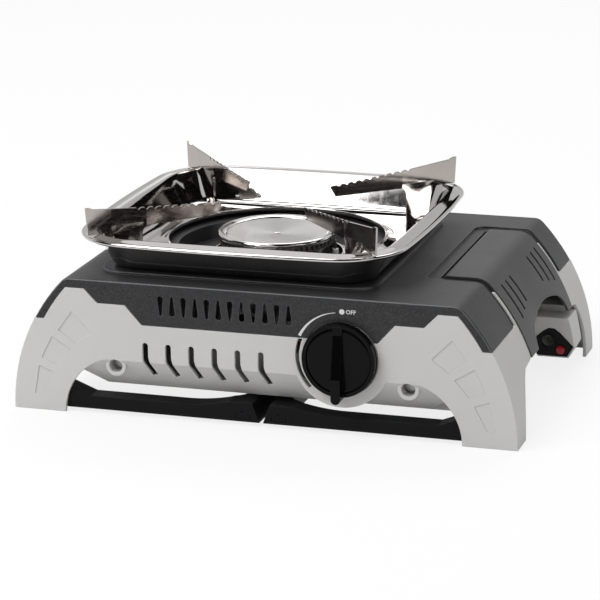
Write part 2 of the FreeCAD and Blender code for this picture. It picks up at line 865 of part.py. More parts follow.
def make_foot_panels(body):
    panels = [
        [("foot_half - 63.8", "63.2"), ("foot_half - 50.6", "53.7"),
         ("foot_half - 37.3", "63.3"), ("foot_half - 48.6", "78.5")],
        [("foot_half - 46.7", "49.2"), ("foot_half - 35.5", "35.9"),
         ("foot_half - 23.2", "41"), ("foot_half - 31.9", "58.1")],
        [("foot_half - 31.9", "30.5"), ("foot_half - 22.7", "12.5"),
         ("foot_half - 16.7", "12.3"), ("foot_half - 20.8", "34.6")],
    ]
    loops = panels + [mirrored_corners(panel) for panel in panels]
    pocket(body, "FrontPanels", "XZ", f"{front_y} - 1", f"{front_y} + panel_depth", *loops)
    pocket(body, "RearPanels", "XZ", f"{rear_y} - panel_depth", f"{rear_y} + 1", *loops)


def make_dial_slot(body):
    inner, outer = "dial_slot_inner", "dial_slot_outer"
    top_z = "(skirt_z - seam - 0.6)"
    start_in = f"knob_x - sqrt({inner}^2 - ({top_z} - knob_z)^2)"
    start_out = f"knob_x - sqrt({outer}^2 - ({top_z} - knob_z)^2)"
    cosine, sine = "cos(225)", "sin(225)"
    pocket(
        body, "DialSlot", "XZ", f"{front_y} - 1", f"{front_y} + housing_wall + 1",
        [
            (start_in, top_z), (start_out, top_z, outer),
            (f"knob_x + {outer}*{cosine}", f"knob_z + {outer}*{sine}"),
            (f"knob_x + {inner}*{cosine}", f"knob_z + {inner}*{sine}", f"-{inner}"),
        ],
    )


# Lugs that hang from the belly's slanted sides and carry the folding legs' pins

leg_outer_y = "(depth/2 - leg_front)"
leg_inner_y = "(depth/2 - leg_front - leg_arm)"


def make_leg_lugs(body):
    for end, sy in (("Front", "-"), ("Rear", "")):
        near = f"({leg_inner_y} - seam)"
        far = f"({leg_inner_y} - seam - lug_thick)"
        low_y, high_y = (f"-{near}", f"-{far}") if sy else (far, near)
        top = "(lid_low_z - housing_wall + 1)"
        lugs = []
        bores = []
        for x in ("-leg_pivot_x", "leg_pivot_x"):
            lugs.append([
                (f"{x} - 6", top), (f"{x} - 6", "leg_pivot_z", "6"), (x, "leg_pivot_z - 6", "6"),
                (f"{x} + 6", "leg_pivot_z"), (f"{x} + 6", top),
            ])
            bores.append(("circle", x, "leg_pivot_z", "leg_pin + pin_clearance"))
        pad(body, end + "Lugs", "XZ", low_y, high_y, *lugs)
        pocket(body, end + "LugBores", "XZ", low_y + " - 1", high_y + " + 1", *bores)


# Plain round pieces and groups of them

def cylinder(name, radius, length, x, y, z, along="Z"):
    rod = doc.addObject("Part::Cylinder", name)
    rod.Radius = value(radius)
    rod.Height = value(length)
    bind(rod, "Radius", radius)
    bind(rod, "Height", length)
    turn = {"X": (Vector(0, 1, 0), 90), "Y": (Vector(1, 0, 0), -90), "Z": (Vector(0, 0, 1), 0)}
    rod.Placement = FreeCAD.Placement(
        Vector(value(x), value(y), value(z)), FreeCAD.Rotation(*turn[along])
    )
    for axis, formula in (("x", x), ("y", y), ("z", z)):
        bind(rod, f"Placement.Base.{axis}", formula)
    return rod


def together(name, members, kind="Part::Compound"):
    whole = doc.addObject(kind, name)
    if kind == "Part::Compound":
        whole.Links = members
    else:
        whole.Shapes = members
    return whole


def drilled(name, base, tool):
    cut = doc.addObject("Part::Cut", name)
    cut.Base = base
    cut.Tool = tool
    return cut


# Cartridge lid: one folded sheet with a rolled edge that turns on two pins

lid_outer = "(groove_depth - seam - lid_wall)"
lid_inner = "(groove_depth - seam)"


def make_canister_lid():
    body = new_body("CanisterLid")
    pad(
        body, "LidSheet", "XZ", "lid_front_y", "lid_rear_y",
        casing_band(lid_outer, lid_inner, hinge_x, "lid_low_z", "lid_bend"),
    )
    pad(body, "LidRoll", "XZ", "lid_front_y", "lid_rear_y", ("circle", hinge_x, hinge_z, "lid_roll"))
    pocket(
        body, "LidRollBore", "XZ", "lid_front_y - 1", "lid_rear_y + 1",
        ("circle", hinge_x, hinge_z, "hinge_pin + pin_clearance"),
    )
    low = "lid_low_z"
    top = f"{low} + grip_height"
    pocket(
        body, "Grip", "YZ", side_x("foot_top_z", "8"), beyond,
        [
            ("grip_front_y", f"{low} - 1"), ("grip_rear_y", f"{low} - 1"),
            ("grip_rear_y", f"{low} + 1", "grip_corner"),
            ("grip_rear_y - 12", f"{top} - 6", "grip_arch"),
            ("grip_front_y + 12", f"{top} - 6", "grip_corner"), ("grip_front_y", f"{low} + 1"),
        ],
    )
    slots = []
    for index in range(3):
        low_x = side_x(f"(76 - 3*{2 - index})")
        for middle in (f"(lid_front_y + 17 + 12.5*{index})", f"(lid_rear_y - 13.5 - 12.5*{index})"):
            slots.append(rectangle(
                side_x("95"), low_x, f"{middle} - lid_slot/2", f"{middle} + lid_slot/2"))
    pocket(body, "LidSlots", "XY", "lid_low_z", "top_height + 2", *slots)
    return seat(body, "canister_lid")


def make_lid_hinge_pins():
    length = "hinge_ear + 8"
    rods = [
        cylinder("FrontHingePin", "hinge_pin", length, hinge_x,
                 "lid_front_y - lid_gap - hinge_ear", hinge_z, "Y"),
        cylinder("RearHingePin", "hinge_pin", length, hinge_x,
                 "lid_rear_y + lid_gap - 8", hinge_z, "Y"),
    ]
    return seat(together("LidHingePins", rods), "lid_hinge_pins")


# Stainless drip tray: rolled rim, sloped walls and a floor that rises to the burner hole

tray_low = "(top_height + platform_rise + tray_lift)"
tray_floor = f"({tray_low} + tray_sheet)"
tray_mouth = "(tray_half - tray_band)"
mouth_corner = "(tray_corner - tray_band)"
floor_corner = "(tray_corner - tray_half + tray_floor_half)"


def make_drip_tray():
    body = new_body("DripTray")
    rim_low = "tray_top_z - 1.75*tray_bead"
    pad(body, "Rim", "XY", rim_low, "tray_top_z",
        rounded_square("tray_half", "tray_corner", "tray_bow"))
    soften(
        body, "RimRound", "Fillet", "tray_bead*0.6",
        lambda e: abs(e.CenterOfMass.z - value("tray_top_z")) < 0.01,
    )
    pocket(body, "RimHollow", "XY", f"{rim_low} - 1", "tray_top_z - tray_sheet",
           rounded_square("(tray_half - tray_bead)", "(tray_corner - tray_bead)", "tray_bow"))
    outer = [
        (tray_low, rounded_square("(tray_floor_half + tray_sheet)", floor_corner)),
        ("tray_top_z - tray_sheet/2", rounded_square(f"({tray_mouth} + tray_sheet)", mouth_corner)),
    ]
    inner = [
        (tray_floor, rounded_square("tray_floor_half", floor_corner)),
        ("tray_top_z", rounded_square(tray_mouth, mouth_corner)),
    ]
    loft(body, "Pan", "PartDesign::AdditiveLoft", outer)
    loft(body, "PanHollow", "PartDesign::SubtractiveLoft", inner)
    pocket(body, "FloorHole", "XY", f"{tray_low} - 1", f"{tray_floor} + 1",
           ("circle", "0", "0", "tray_hole + 9"))
    lip = "(tray_hole + tray_sheet)"
    turned(body, "FloorRise", [
        ("tray_hole + 11", tray_low), ("tray_hole + 11", tray_floor),
        ("tray_hole + 9", tray_floor), (lip, "tray_lip_z"), (lip, "tray_lip_z + 2"),
        ("tray_hole", "tray_lip_z + 2"), ("tray_hole", "tray_lip_z - tray_sheet"),
        ("tray_hole + 8", tray_low),
    ])
    return seat(body, "drip_tray", "burner_x")


# Pot support: upright sheet with a toothed arm, a horn over the tray's corner and a leg
# pressed into a half round

support_foot = tray_floor


def support_section(bulge):
    start, end = "(support_leg_in_r - 3)", "(support_leg_out_r + 3)"
    bend = f"((({end} - {start})^2/4 + ({bulge})^2)/(2*({bulge})))"
    half = "support_sheet/2"
    return [
        ("support_inner_r - 5", f"-{half}"), (start, f"-{half}", bend), (end, f"-{half}"),
        ("support_tip_r + 5", f"-{half}"), ("support_tip_r + 5", half),
        (end, half, f"-{bend}"), (start, half), ("support_inner_r - 5", half),
    ]


def support_profile():
    rise = "(support_horn_z - support_inner_z)/(support_horn_r - support_inner_r)"
    edge = [
        ("support_inner_r + 5", "support_arm_z"),
        ("support_leg_in_r - 5", "support_arm_z - 1", "-5.4"),
        ("support_leg_in_r", "support_arm_z - 6"),
        ("support_leg_in_r", support_foot), ("support_leg_out_r - 5", support_foot),
        ("support_leg_out_r + 1", "tray_top_z - 3.5"), ("support_leg_out_r + 6", "tray_top_z"),
        ("support_tip_r - 1.5", "tray_top_z"), ("support_tip_r", "support_tip_z"),
        ("support_tip_r - 3", "support_tip_z"), ("support_tip_r - 7", "support_tip_z - 1.6"),
    ]
    for index in range(10):
        at = f"(support_horn_r - tooth_pitch*{index})"
        height = f"(support_horn_z - tooth_pitch*{index}*{rise})"
        edge += [
            (at, height), (f"{at} - tooth_pitch*0.3", f"{height} - tooth_depth"),
            (f"{at} - tooth_pitch*0.6", f"{height} - tooth_pitch*0.6*{rise}"),
        ]
    return edge + [("support_inner_r", "support_inner_z")]


def make_pot_supports():
    body = new_body("PotSupport")
    upper = "(support_arm_z + 2)"
    loft(body, "Leg", "PartDesign::AdditiveLoft", [
        (support_foot, support_section("support_bulge")), (upper, support_section("0.3")),
    ])
    pad(body, "Arm", "XY", upper, "support_tip_z + 3", support_section("0.3"))
    frame = rectangle("support_inner_r - 8", "support_tip_r + 8",
                      f"{support_foot} - 5", "support_tip_z + 6")
    pocket(body, "Outline", "XZ", "-20", "20", frame, support_profile())
    body.Tip.Refine = True
    for index, name in enumerate(("rear_right", "rear_left", "front_left", "front_right")):
        copy = together("PotSupport" + str(index), [body])
        seat(copy, "pot_support_" + name, "burner_x", angle=45 + 90 * index)


igniter_x = "(guard_radius - 4.6)"


# Burner: dished cap, toothed flame ring, cast mixing head and a guard ring in the well

def make_burner():
    body = new_body("BurnerCap")
    rim = "cap_rim_z"
    rim_in = "(cap_radius - cap_rim_width)"
    ring_top = f"({rim} - 4)"
    turned(body, "Dish", [
        ("0", f"{rim} - cap_dish - 2"), (f"{rim_in} - 12", ring_top),
        ("cap_radius - 2.4", ring_top), ("cap_radius", f"{rim} - 2.2"), ("cap_radius", f"{rim} - 0.8"),
        ("cap_radius - 1.2", rim), (rim_in, f"{rim} - 0.4"), (f"{rim_in} - 1.2", f"{rim} - 1.2"),
        ("0", f"{rim} - cap_dish"),
    ])
    seat(body, "burner_cap", "burner_x")

    body = new_body("BurnerRing")
    ring_low = f"({ring_top} - ring_height)"
    turned(body, "RingBand",
           rectangle("ring_inner", "ring_radius", f"{ring_low} + seam", f"{ring_top} - seam"))
    slot = pocket(
        body, "FlameSlot", "XY", f"{ring_low} + 1.2", f"{ring_top} + 1",
        rectangle("ring_radius - flame_depth", "ring_radius + 1", "-flame_slot/2", "flame_slot/2"),
    )
    repeat_round(body, "FlameSlots", slot, "flame_teeth")
    seat(body, "burner_ring", "burner_x")

    body = new_body("BurnerBase")
    neck = "(mix_radius + 5)"
    low = "(mix_z - mix_radius - base_wall)"
    turned(body, "MixingHead", [
        ("base_radius", ring_low), ("base_radius - 3", f"{ring_low} - 1"),
        (f"{neck} + 10", f"{ring_low} - 19"), (neck, f"{ring_low} - 22"), (neck, low), ("0", low),
        ("0", f"{low} + base_wall"), (f"{neck} - base_wall", f"{low} + base_wall"),
        (f"{neck} - base_wall", f"{ring_low} - 19.5"), (f"{neck} + 8", f"{ring_low} - 16"),
        ("base_radius - 7.5", f"{ring_low} - 1"), ("base_radius - 7.5", ring_low),
    ])
    pocket(body, "TubeSocket", "XZ", f"-{neck} - 1", "0",
           ("circle", "0", "mix_z", "mix_radius + pin_clearance"))
    lug_top = "(top_height + platform_rise - well_depth + 2)"
    pad(body, "IgniterLug", "XY", f"{lug_top} - 3", lug_top,
        rectangle("base_radius - 14", "guard_radius - 1.6", "-4", "4"))
    pocket(body, "IgniterHole", "XY", f"{lug_top} - 4", f"{lug_top} + 1",
           ("circle", igniter_x, "0", "sleeve_radius + pin_clearance"))
    seat(body, "burner_base", "burner_x")

    body = new_body("GuardRing")
    floor = "(top_height + platform_rise - well_depth + seam)"
    turned(body, "GuardBand", [
        ("guard_radius - 1", floor), ("guard_radius + 7", floor),
        ("guard_radius + 7", f"{floor} + 1"), ("guard_radius", f"{floor} + 1"),
        ("guard_radius", "guard_z + 1"), ("guard_radius - 1", "guard_z + 1"),
    ])
    seat(body, "guard_ring", "burner_x")

    body = new_body("MixingTube")
    start = f"-({neck} + mix_length)"
    pad(body, "TubeWall", "XZ", start, f"-({neck} - base_wall)",
        *ring("0", "mix_z", "mix_radius", "mix_radius - 1.2"))
    pad(body, "TubeMouth", "XZ", f"{start} - 6", start,
        *ring("0", "mix_z", "mix_radius + 2", "mix_radius - 1.2"))
    seat(body, "mixing_tube", "burner_x")

    body = new_body("BurnerBracket")
    floor = "(belly_z + housing_wall + seam)"
    top = f"({low} - seam)"
    pad(body, "Hat", "XZ", "-12", "12", [
        ("-34", floor), ("-17", floor), ("-17", f"{top} - 1.5"), ("17", f"{top} - 1.5"),
        ("17", floor), ("34", floor), ("34", f"{floor} + 1.5"), ("18.5", f"{floor} + 1.5"),
        ("18.5", top), ("-18.5", top), ("-18.5", f"{floor} + 1.5"), ("-34", f"{floor} + 1.5"),
    ])
    seat(body, "burner_bracket", "burner_x")


# Igniter: ceramic sleeve in the mixing head's lug, and the wire that sparks to the ring

def make_igniter():
    low = "(top_height + platform_rise - well_depth - 6)"
    sleeve = cylinder("SleeveBody", "sleeve_radius", "sleeve_length", igniter_x, "0", low)
    bore = cylinder("SleeveBore", "wire_radius + seam/2", "sleeve_length + 2", igniter_x, "0",
                    f"{low} - 1")
    seat(drilled("Sleeve", sleeve, bore), "igniter_insulator", "burner_x")
    wire = cylinder("WireRod", "wire_radius", "sleeve_length + 8", igniter_x, "0", f"{low} - 1")
    seat(wire, "igniter_wire", "burner_x")


# Gas parts behind the knob: valve, regulator, pipes and nozzle

valve_front = f"({front_y} + knob_well + housing_wall + seam)"
valve_back = f"({valve_front} + valve_depth)"


def make_gas_parts():
    body = new_body("GasValve")
    pad(body, "ValveBlock", "XZ", valve_front, valve_back, rectangle(
        "knob_x - valve_size/2", "knob_x + valve_size/2",
        "knob_z - valve_size/2", "knob_z + valve_size/2"))
    soften(body, "ValveEdges", "Chamfer", "2",
           lambda e: abs(abs(e.CenterOfMass.x - value("knob_x")) - value("valve_size/2")) < 0.01
           and abs(abs(e.CenterOfMass.z - value("knob_z")) - value("valve_size/2")) < 0.01)
    pocket(body, "ShaftBore", "XZ", f"{valve_front} - 1", f"{valve_back} - 5",
           ("circle", "knob_x", "knob_z", "shaft_radius + shaft_clearance"))
    seat(body, "gas_valve")

    body = new_body("Regulator")
    back = f"({front_y} + housing_wall + 0.4)"
    nose = f"({back} + regulator_length)"
    can_end = f"({back} + regulator_can)"
    pad(body, "RegulatorCan", "XZ", back, can_end,
        ("circle", "cartridge_x", "cartridge_z", "regulator_radius"))
    pad(body, "RegulatorNose", "XZ", can_end, nose,
        ("circle", "cartridge_x", "cartridge_z", "regulator_nose"))
    pocket(body, "RegulatorInlet", "XZ", f"{nose} - 6", f"{nose} + 1",
           ("circle", "cartridge_x", "cartridge_z", "2.6"))
    seat(body, "pressure_regulator")

    body = new_body("MagnetRing")
    pad(body, "Magnet", "XZ", f"{can_end} + seam", f"{nose} - 1",
        *ring("cartridge_x", "cartridge_z", "magnet_radius", "regulator_nose + seam"))
    seat(body, "magnet_ring")

    pipe_y = f"({back} + pipe_inset)"
    start = "knob_x + valve_size/2 + seam"
    seat(cylinder("SupplyRod", "pipe_radius",
                  f"cartridge_x - regulator_radius - seam - ({start})",
                  start, pipe_y, "cartridge_z", "X"), "supply_pipe")

    body = new_body("BurnerPipe")
    run_y = f"({valve_back} - 8)"
    end_y = "-(mix_radius + 5 + mix_length + 14)"
    start_x = "(knob_x - valve_size/2 - seam)"
    path = body.newObject("Sketcher::SketchObject", "PipePath")
    path.AttachmentSupport = (origin_plane(body, "XY"), [""])
    path.MapMode = "FlatFace"
    path.AttachmentOffset = FreeCAD.Placement(Vector(0, 0, value("mix_z")), FreeCAD.Rotation())
    bind(path, "AttachmentOffset.Base.z", "mix_z")
    x0, x1 = value(start_x), value("burner_x")
    y0, y1, bend = value(run_y), value(end_y), value("pipe_bend")
    points = [Vector(x0, y0, 0), Vector(x1 + bend, y0, 0), Vector(x1, y0 + bend, 0), Vector(x1, y1, 0)]
    path.addGeometry(Part.LineSegment(points[0], points[1]), False)
    centre = Vector(x1 + bend, y0 + bend, 0)
    circle = Part.Circle(centre, Vector(0, 0, 1), bend)
    path.addGeometry(Part.ArcOfCircle(
        circle, circle.parameter(points[2]), circle.parameter(points[1])), False)
    path.addGeometry(Part.LineSegment(points[2], points[3]), False)
    path.addConstraint(Sketcher.Constraint("Coincident", 0, 2, 1, 2))
    path.addConstraint(Sketcher.Constraint("Coincident", 1, 1, 2, 1))
    pin_point(path, 0, 1, start_x, run_y)
    pin_point(path, 0, 2, "burner_x + pipe_bend", run_y)
    pin_point(path, 2, 1, "burner_x", f"{run_y} + pipe_bend")
    pin_point(path, 2, 2, "burner_x", end_y)
    size = path.addConstraint(Sketcher.Constraint("Radius", 1, bend))
    bind(path, f"Constraints[{size}]", "pipe_bend")
    section = new_sketch(body, "PipeSection", "YZ", start_x,
                         [("circle", run_y, "mix_z", "pipe_radius")])
    pipe = body.newObject("PartDesign::AdditivePipe", "Pipe")
    pipe.Profile = section
    pipe.Spine = (path, ["Edge1", "Edge2", "Edge3"])
    seat(body, "burner_pipe")

    nozzle = cylinder("NozzleBody", "nozzle_radius", "10", "burner_x", f"{end_y} + seam", "mix_z", "Y")
    bore = cylinder("NozzleBore", "nozzle_bore", "12", "burner_x", end_y, "mix_z", "Y")
    seat(drilled("Nozzle", nozzle, bore), "gas_nozzle")


# Control knob with its grip bar and tail, and the shaft that goes into the valve

def make_knob():
    body = new_body("ControlKnob")
    back = f"({front_y} - knob_gap)"
    face = f"({back} - knob_disc)"
    tip = f"({front_y} - knob_proud)"
    pad(body, "Disc", "XZ", face, back, ("circle", "0", "0", "knob_radius"))
    pocket(body, "DialFace", "XZ", f"{face} - 1", f"{face} + 1.6",
           ("circle", "0", "0", "knob_radius - 3"))
    bar = "grip_bar/2"
    pad(body, "GripBar", "XZ", tip, f"{front_y} - knob_travel - 0.5", [
        (bar, f"-(grip_tail - {bar})"), (bar, "knob_radius - 2"), (f"-{bar}", "knob_radius - 2"),
        (f"-{bar}", f"-(grip_tail - {bar})", bar), ("0", "-grip_tail", bar),
    ])
    pocket(body, "GripSlope", "YZ", f"-{bar} - 1", f"{bar} + 1", [
        (f"{tip} - 1", "-12"), (tip, "-12"), (f"{face} - 1", "knob_radius - 8"),
        (f"{face} - 0.4", "knob_radius - 1"), (f"{tip} - 1", "knob_radius - 1"),
    ])
    hub_end = f"({valve_front} - knob_travel - 0.4)"
    pad(body, "Hub", "XZ", face, hub_end, ("circle", "0", "0", "hub_radius"))
    pocket(body, "ShaftSocket", "XZ", f"{face} + 2.4", f"{hub_end} + 1",
           ("circle", "0", "0", "shaft_radius + pin_clearance"))
    seat(body, "control_knob", "knob_x", z="knob_z")

    shaft_tip = f"({front_y} - knob_gap - knob_disc + knob_travel + 2.7)"
    shaft = cylinder("ShaftRod", "shaft_radius", f"{valve_back} - 9 - {shaft_tip}",
                     "knob_x", shaft_tip, "knob_z", "Y")
    seat(shaft, "knob_shaft")


# Cartridge bay: cradle under the cartridge and a shield between it and the burner

def make_bay():
    body = new_body("Cradle")
    inner = "(cartridge_radius + cartridge_room)"
    outer = f"({inner} + cradle_wall)"
    x, z = "cartridge_x", "cartridge_z"
    cosine, sine = "cos(25)", "sin(25)"
    pad(body, "Trough", "XZ", "-90", "72", [
        (f"{x} - {outer}*{cosine}", f"{z} - {outer}*{sine}", outer),
        (x, f"{z} - {outer}", outer),
        (f"{x} + {outer}*{cosine}", f"{z} - {outer}*{sine}"),
        (f"{x} + {inner}*{cosine}", f"{z} - {inner}*{sine}", f"-{inner}"),
        (x, f"{z} - {inner}", f"-{inner}"),
        (f"{x} - {inner}*{cosine}", f"{z} - {inner}*{sine}"),
    ])
    for name, start in (("FrontSaddle", "-80"), ("RearSaddle", "50")):
        pad(body, name, "XY", "belly_z + housing_wall + seam", f"{z} - {inner} - 0.2",
            rectangle(f"{x} - 6", f"{x} + 6", start, f"{start} + 12"))
    seat(body, "canister_cradle")

    body = new_body("Shield")
    plate_x = f"(cartridge_x - {outer} - 2.5)"
    floor = "(belly_z + housing_wall + seam)"
    pad(body, "ShieldPlate", "YZ", f"{plate_x} - 1", plate_x,
        rectangle("-85", "105", floor, "top_height - shell_wall - 2"))
    pad(body, "ShieldFoot", "XY", floor, f"{floor} + 1",
        rectangle(f"{plate_x} - 12", f"{plate_x} - 0.5", "-85", "105"))
    seat(body, "heat_shield")


# Folding legs: two frames side by side under the belly

def make_leg_frames():
    for name, sx in (("right", 1), ("left", -1)):
        body = new_body("LegFrame" + name)
        top = "(leg_low_z + leg_height)"
        high = "(leg_low_z + leg_end_height)"
        tip = "leg_gap/2"
        reach = "(leg_pivot_z - leg_low_z)"
        right = [
            (tip, "leg_low_z"), ("leg_pivot_x", "leg_low_z", reach),
            (f"leg_pivot_x + {reach}", "leg_pivot_z", reach),
            ("leg_pivot_x", f"leg_pivot_z + {reach} + 4"), ("leg_pivot_x - 8", "leg_pivot_z + 11"),
            ("leg_pivot_x - 26", top), ("leg_rise_low_x", top, "-150"),
            ("leg_rise_high_x", high), (f"{tip} + leg_slant", high),
        ]
        outline = right if sx > 0 else mirrored_corners(right)
        pad(body, "Side", "XZ", f"-{leg_outer_y}", leg_outer_y, outline)
        inner = f"({tip} + leg_bar)"
        room = [
            ("leg_pivot_x + 20", f"-{leg_inner_y}"), ("leg_pivot_x + 20", leg_inner_y),
            (f"{inner} + 14", leg_inner_y, "14"), (inner, f"{leg_inner_y} - 14"),
            (inner, f"-({leg_inner_y} - 14)", "14"), (f"{inner} + 14", f"-{leg_inner_y}"),
        ]
        room = room if sx > 0 else mirrored_corners(room)
        pocket(body, "Room", "XY", "0", "leg_pivot_z + 13", room)
        middle = "leg_mark_x" if sx > 0 else "-leg_mark_x"
        hook = [
            (f"{middle} - 6", "9"), (f"{middle} - 6", "4.6"), (f"{middle} + 6", "4.6"),
            (f"{middle} + 6", "9"), (f"{middle} + 5", "9"), (f"{middle} + 5", "5.6"),
            (f"{middle} - 5", "5.6"), (f"{middle} - 5", "9"),
        ]
        hole = rectangle(f"{middle} - 1.4", f"{middle} + 1.4", "9.6", "12.2")
        for end, start, finish in (
            ("Front", f"-{leg_outer_y} - 1", f"-{leg_outer_y} + 0.8"),
            ("Rear", f"{leg_outer_y} - 0.8", f"{leg_outer_y} + 1"),
        ):
            pocket(body, end + "Marks", "XZ", start, finish, hook, hole)
        x = "leg_pivot_x" if sx > 0 else "-leg_pivot_x"
        pocket(body, "PinBore", "XZ", f"-{leg_outer_y} - 1", f"{leg_outer_y} + 1",
               ("circle", x, "leg_pivot_z", "leg_pin + pin_clearance"))
        seat(body, "leg_frame_" + name)
    pins = []
    length = "leg_arm + lug_thick + 2*seam"
    for index, (x, y) in enumerate((
        ("leg_pivot_x", f"-{leg_outer_y}"), ("-leg_pivot_x", f"-{leg_outer_y}"),
        ("leg_pivot_x", f"{leg_outer_y} - ({length})"),
        ("-leg_pivot_x", f"{leg_outer_y} - ({length})"),
    )):
        pins.append(cylinder(f"LegPin{index}", "leg_pin", length, x, y, "leg_pivot_z", "Y"))
    seat(together("LegPins", pins), "leg_hinge_pins")


# Hose inlet under the lid's grip: pale block, dark plate, port and red cap

def inlet_outline(gap):
    left, right = f"(inlet_left_x + 1 - {gap})", f"(inlet_right_x - 1.8 + {gap})"
    low, top = f"(inlet_low_z + 1.6 - {gap})", f"(inlet_top_z - 8.6 + {gap})"
    return [
        (left, low), (f"{right} - 5", low), (right, f"{low} + 8.5"),
        (f"{right} - 10.5", f"{top} - 3.6"), (f"{right} - 15", f"{top} - 0.4"),
        (f"{left} + 10", top), (f"{left} + 5", f"{top} - 3"), (left, f"{top} - 7.5"),
    ]


def make_inlet():
    body = new_body("InletHousing")
    back = "(inlet_front_y + inlet_depth - 6)"
    inset = "0.3"
    pad(body, "InletBlock", "XZ", "inlet_front_y", back, [
        ("inlet_left_x - 0.9", "inlet_low_z + 9"), ("inlet_left_x + 2", "inlet_low_z + 0.5"),
        ("inlet_right_x - 5.4", "inlet_low_z + 0.5"),
        (side_x("inlet_low_z + 9", inset), "inlet_low_z + 9", f"side_radius - {inset}"),
        (side_x("inlet_top_z", inset), "inlet_top_z"), ("inlet_left_x - 0.9", "inlet_top_z"),
    ])
    pocket(body, "InletRecess", "XZ", "inlet_front_y - 1", "inlet_front_y + inlet_recess",
           inlet_outline("0.3"))
    pad(body, "InletNeck", "XY", "inlet_top_z - 1", "lid_low_z - housing_wall - seam",
        rectangle("inlet_left_x", side_x("lid_low_z", "housing_wall + 4"), "lid_rear_y + 2", back))
    pocket(body, "PortSeat", "XZ", "inlet_front_y", "inlet_front_y + 18",
           ("circle", "port_x", "port_z", "port_radius - 0.7"),
           ("circle", "cap_x", "cap_z", "red_radius + seam"))
    seat(body, "gas_inlet_housing")

    body = new_body("InletPlate")
    pad(body, "InletFace", "XZ", "inlet_front_y + 0.3", "inlet_front_y + inlet_recess - 0.3",
        inlet_outline("0"))
    pocket(body, "InletHoles", "XZ", "inlet_front_y", "inlet_front_y + inlet_recess",
           ("circle", "port_x", "port_z", "port_radius + 0.2"),
           ("circle", "cap_x", "cap_z", "red_radius + 0.2"))
    seat(body, "gas_inlet_plate")

    front = "inlet_front_y - 0.2"
    port = cylinder("PortBody", "port_radius", "inlet_recess - 0.1",
                    "port_x", front, "port_z", "Y")
    bore = cylinder("PortBore", "port_bore", "8", "port_x", "inlet_front_y - 2", "port_z", "Y")
    seat(drilled("Port", port, bore), "gas_inlet_port")
    red = cylinder("RedBody", "red_radius", "inlet_recess + 1",
                   "cap_x", "inlet_front_y - 1.3", "cap_z", "Y")
    seat(red, "release_button")


def make_case_screws():
    screws = []
    for index, (x, face, inward) in enumerate((
        ("screw_x", front_y, 1), ("-screw_x", front_y, 1),
        ("screw_x", rear_y, -1), ("-screw_x", rear_y, -1),
    )):
        head_y = f"{face} + 9.5" if inward > 0 else f"{face} - 11.9"
        shank_y = f"{face} + 11" if inward > 0 else f"{face} - 21"
        head = cylinder(f"ScrewHead{index}", "screw_head", "2.4", x, head_y, "screw_z", "Y")
        shank = cylinder(f"ScrewShank{index}", "screw_shank", "10", x, shank_y, "screw_z", "Y")
        screws.append(together(f"Screw{index}", [head, shank], "Part::MultiFuse"))
    seat(together("CaseScrews", screws), "case_screws")


def check_and_write():
    doc.recompute()
    bad = [o.Name for o in doc.Objects if {"Invalid", "Error"} & set(o.State)]
    if bad:
        raise RuntimeError("failed objects: " + ", ".join(bad))
    for piece in pieces:
        if piece.Shape.isNull() or not piece.Shape.isValid():
            raise RuntimeError("bad shape: " + piece.Label)
    os.makedirs("parts", exist_ok=True)
    for piece in pieces:
        piece.Shape.exportStep("parts/" + piece.Label + ".step")
        box = piece.Shape.BoundBox
        print(
            f"{piece.Label:22s} solids {len(piece.Shape.Solids)}"
            f" volume {piece.Shape.Volume:10.0f}"
            f" x {box.XMin:7.1f} {box.XMax:7.1f} y {box.YMin:7.1f} {box.YMax:7.1f}"
            f" z {box.ZMin:6.1f} {box.ZMax:6.1f}"
        )


make_top_shell()
make_lower_housing()
make_canister_lid()
make_lid_hinge_pins()
make_drip_tray()
make_pot_supports()
make_burner()
make_igniter()
make_gas_parts()
make_knob()
make_bay()
make_leg_frames()
make_inlet()
make_case_screws()
check_and_write()
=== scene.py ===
import math
import bmesh
import bpy
from mathutils import Matrix, Vector


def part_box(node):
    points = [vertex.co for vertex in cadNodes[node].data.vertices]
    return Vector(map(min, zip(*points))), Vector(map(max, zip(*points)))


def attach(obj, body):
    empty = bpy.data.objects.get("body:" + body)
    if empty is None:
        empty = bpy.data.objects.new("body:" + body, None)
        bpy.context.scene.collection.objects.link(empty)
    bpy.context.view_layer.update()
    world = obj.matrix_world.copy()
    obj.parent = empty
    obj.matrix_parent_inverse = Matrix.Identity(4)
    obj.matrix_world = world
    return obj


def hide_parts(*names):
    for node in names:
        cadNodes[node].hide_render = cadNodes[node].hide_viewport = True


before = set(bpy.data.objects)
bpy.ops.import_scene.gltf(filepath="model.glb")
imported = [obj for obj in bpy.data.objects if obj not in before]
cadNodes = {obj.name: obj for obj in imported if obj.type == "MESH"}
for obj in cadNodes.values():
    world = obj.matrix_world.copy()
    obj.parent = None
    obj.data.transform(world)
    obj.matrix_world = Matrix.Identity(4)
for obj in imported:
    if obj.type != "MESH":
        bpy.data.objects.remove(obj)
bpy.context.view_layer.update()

scene = bpy.context.scene
mm = 0.001


# Long lens, a little above and to the right of the front
print("camera")
cameraValues = {
    "place": (0.6323, -1.9840, 0.6764),
    "turn": 17.84,          # degrees to the right of straight on
    "tilt": 16.39,          # degrees down
    "roll": -0.936,
    "lens": 170.0,
}


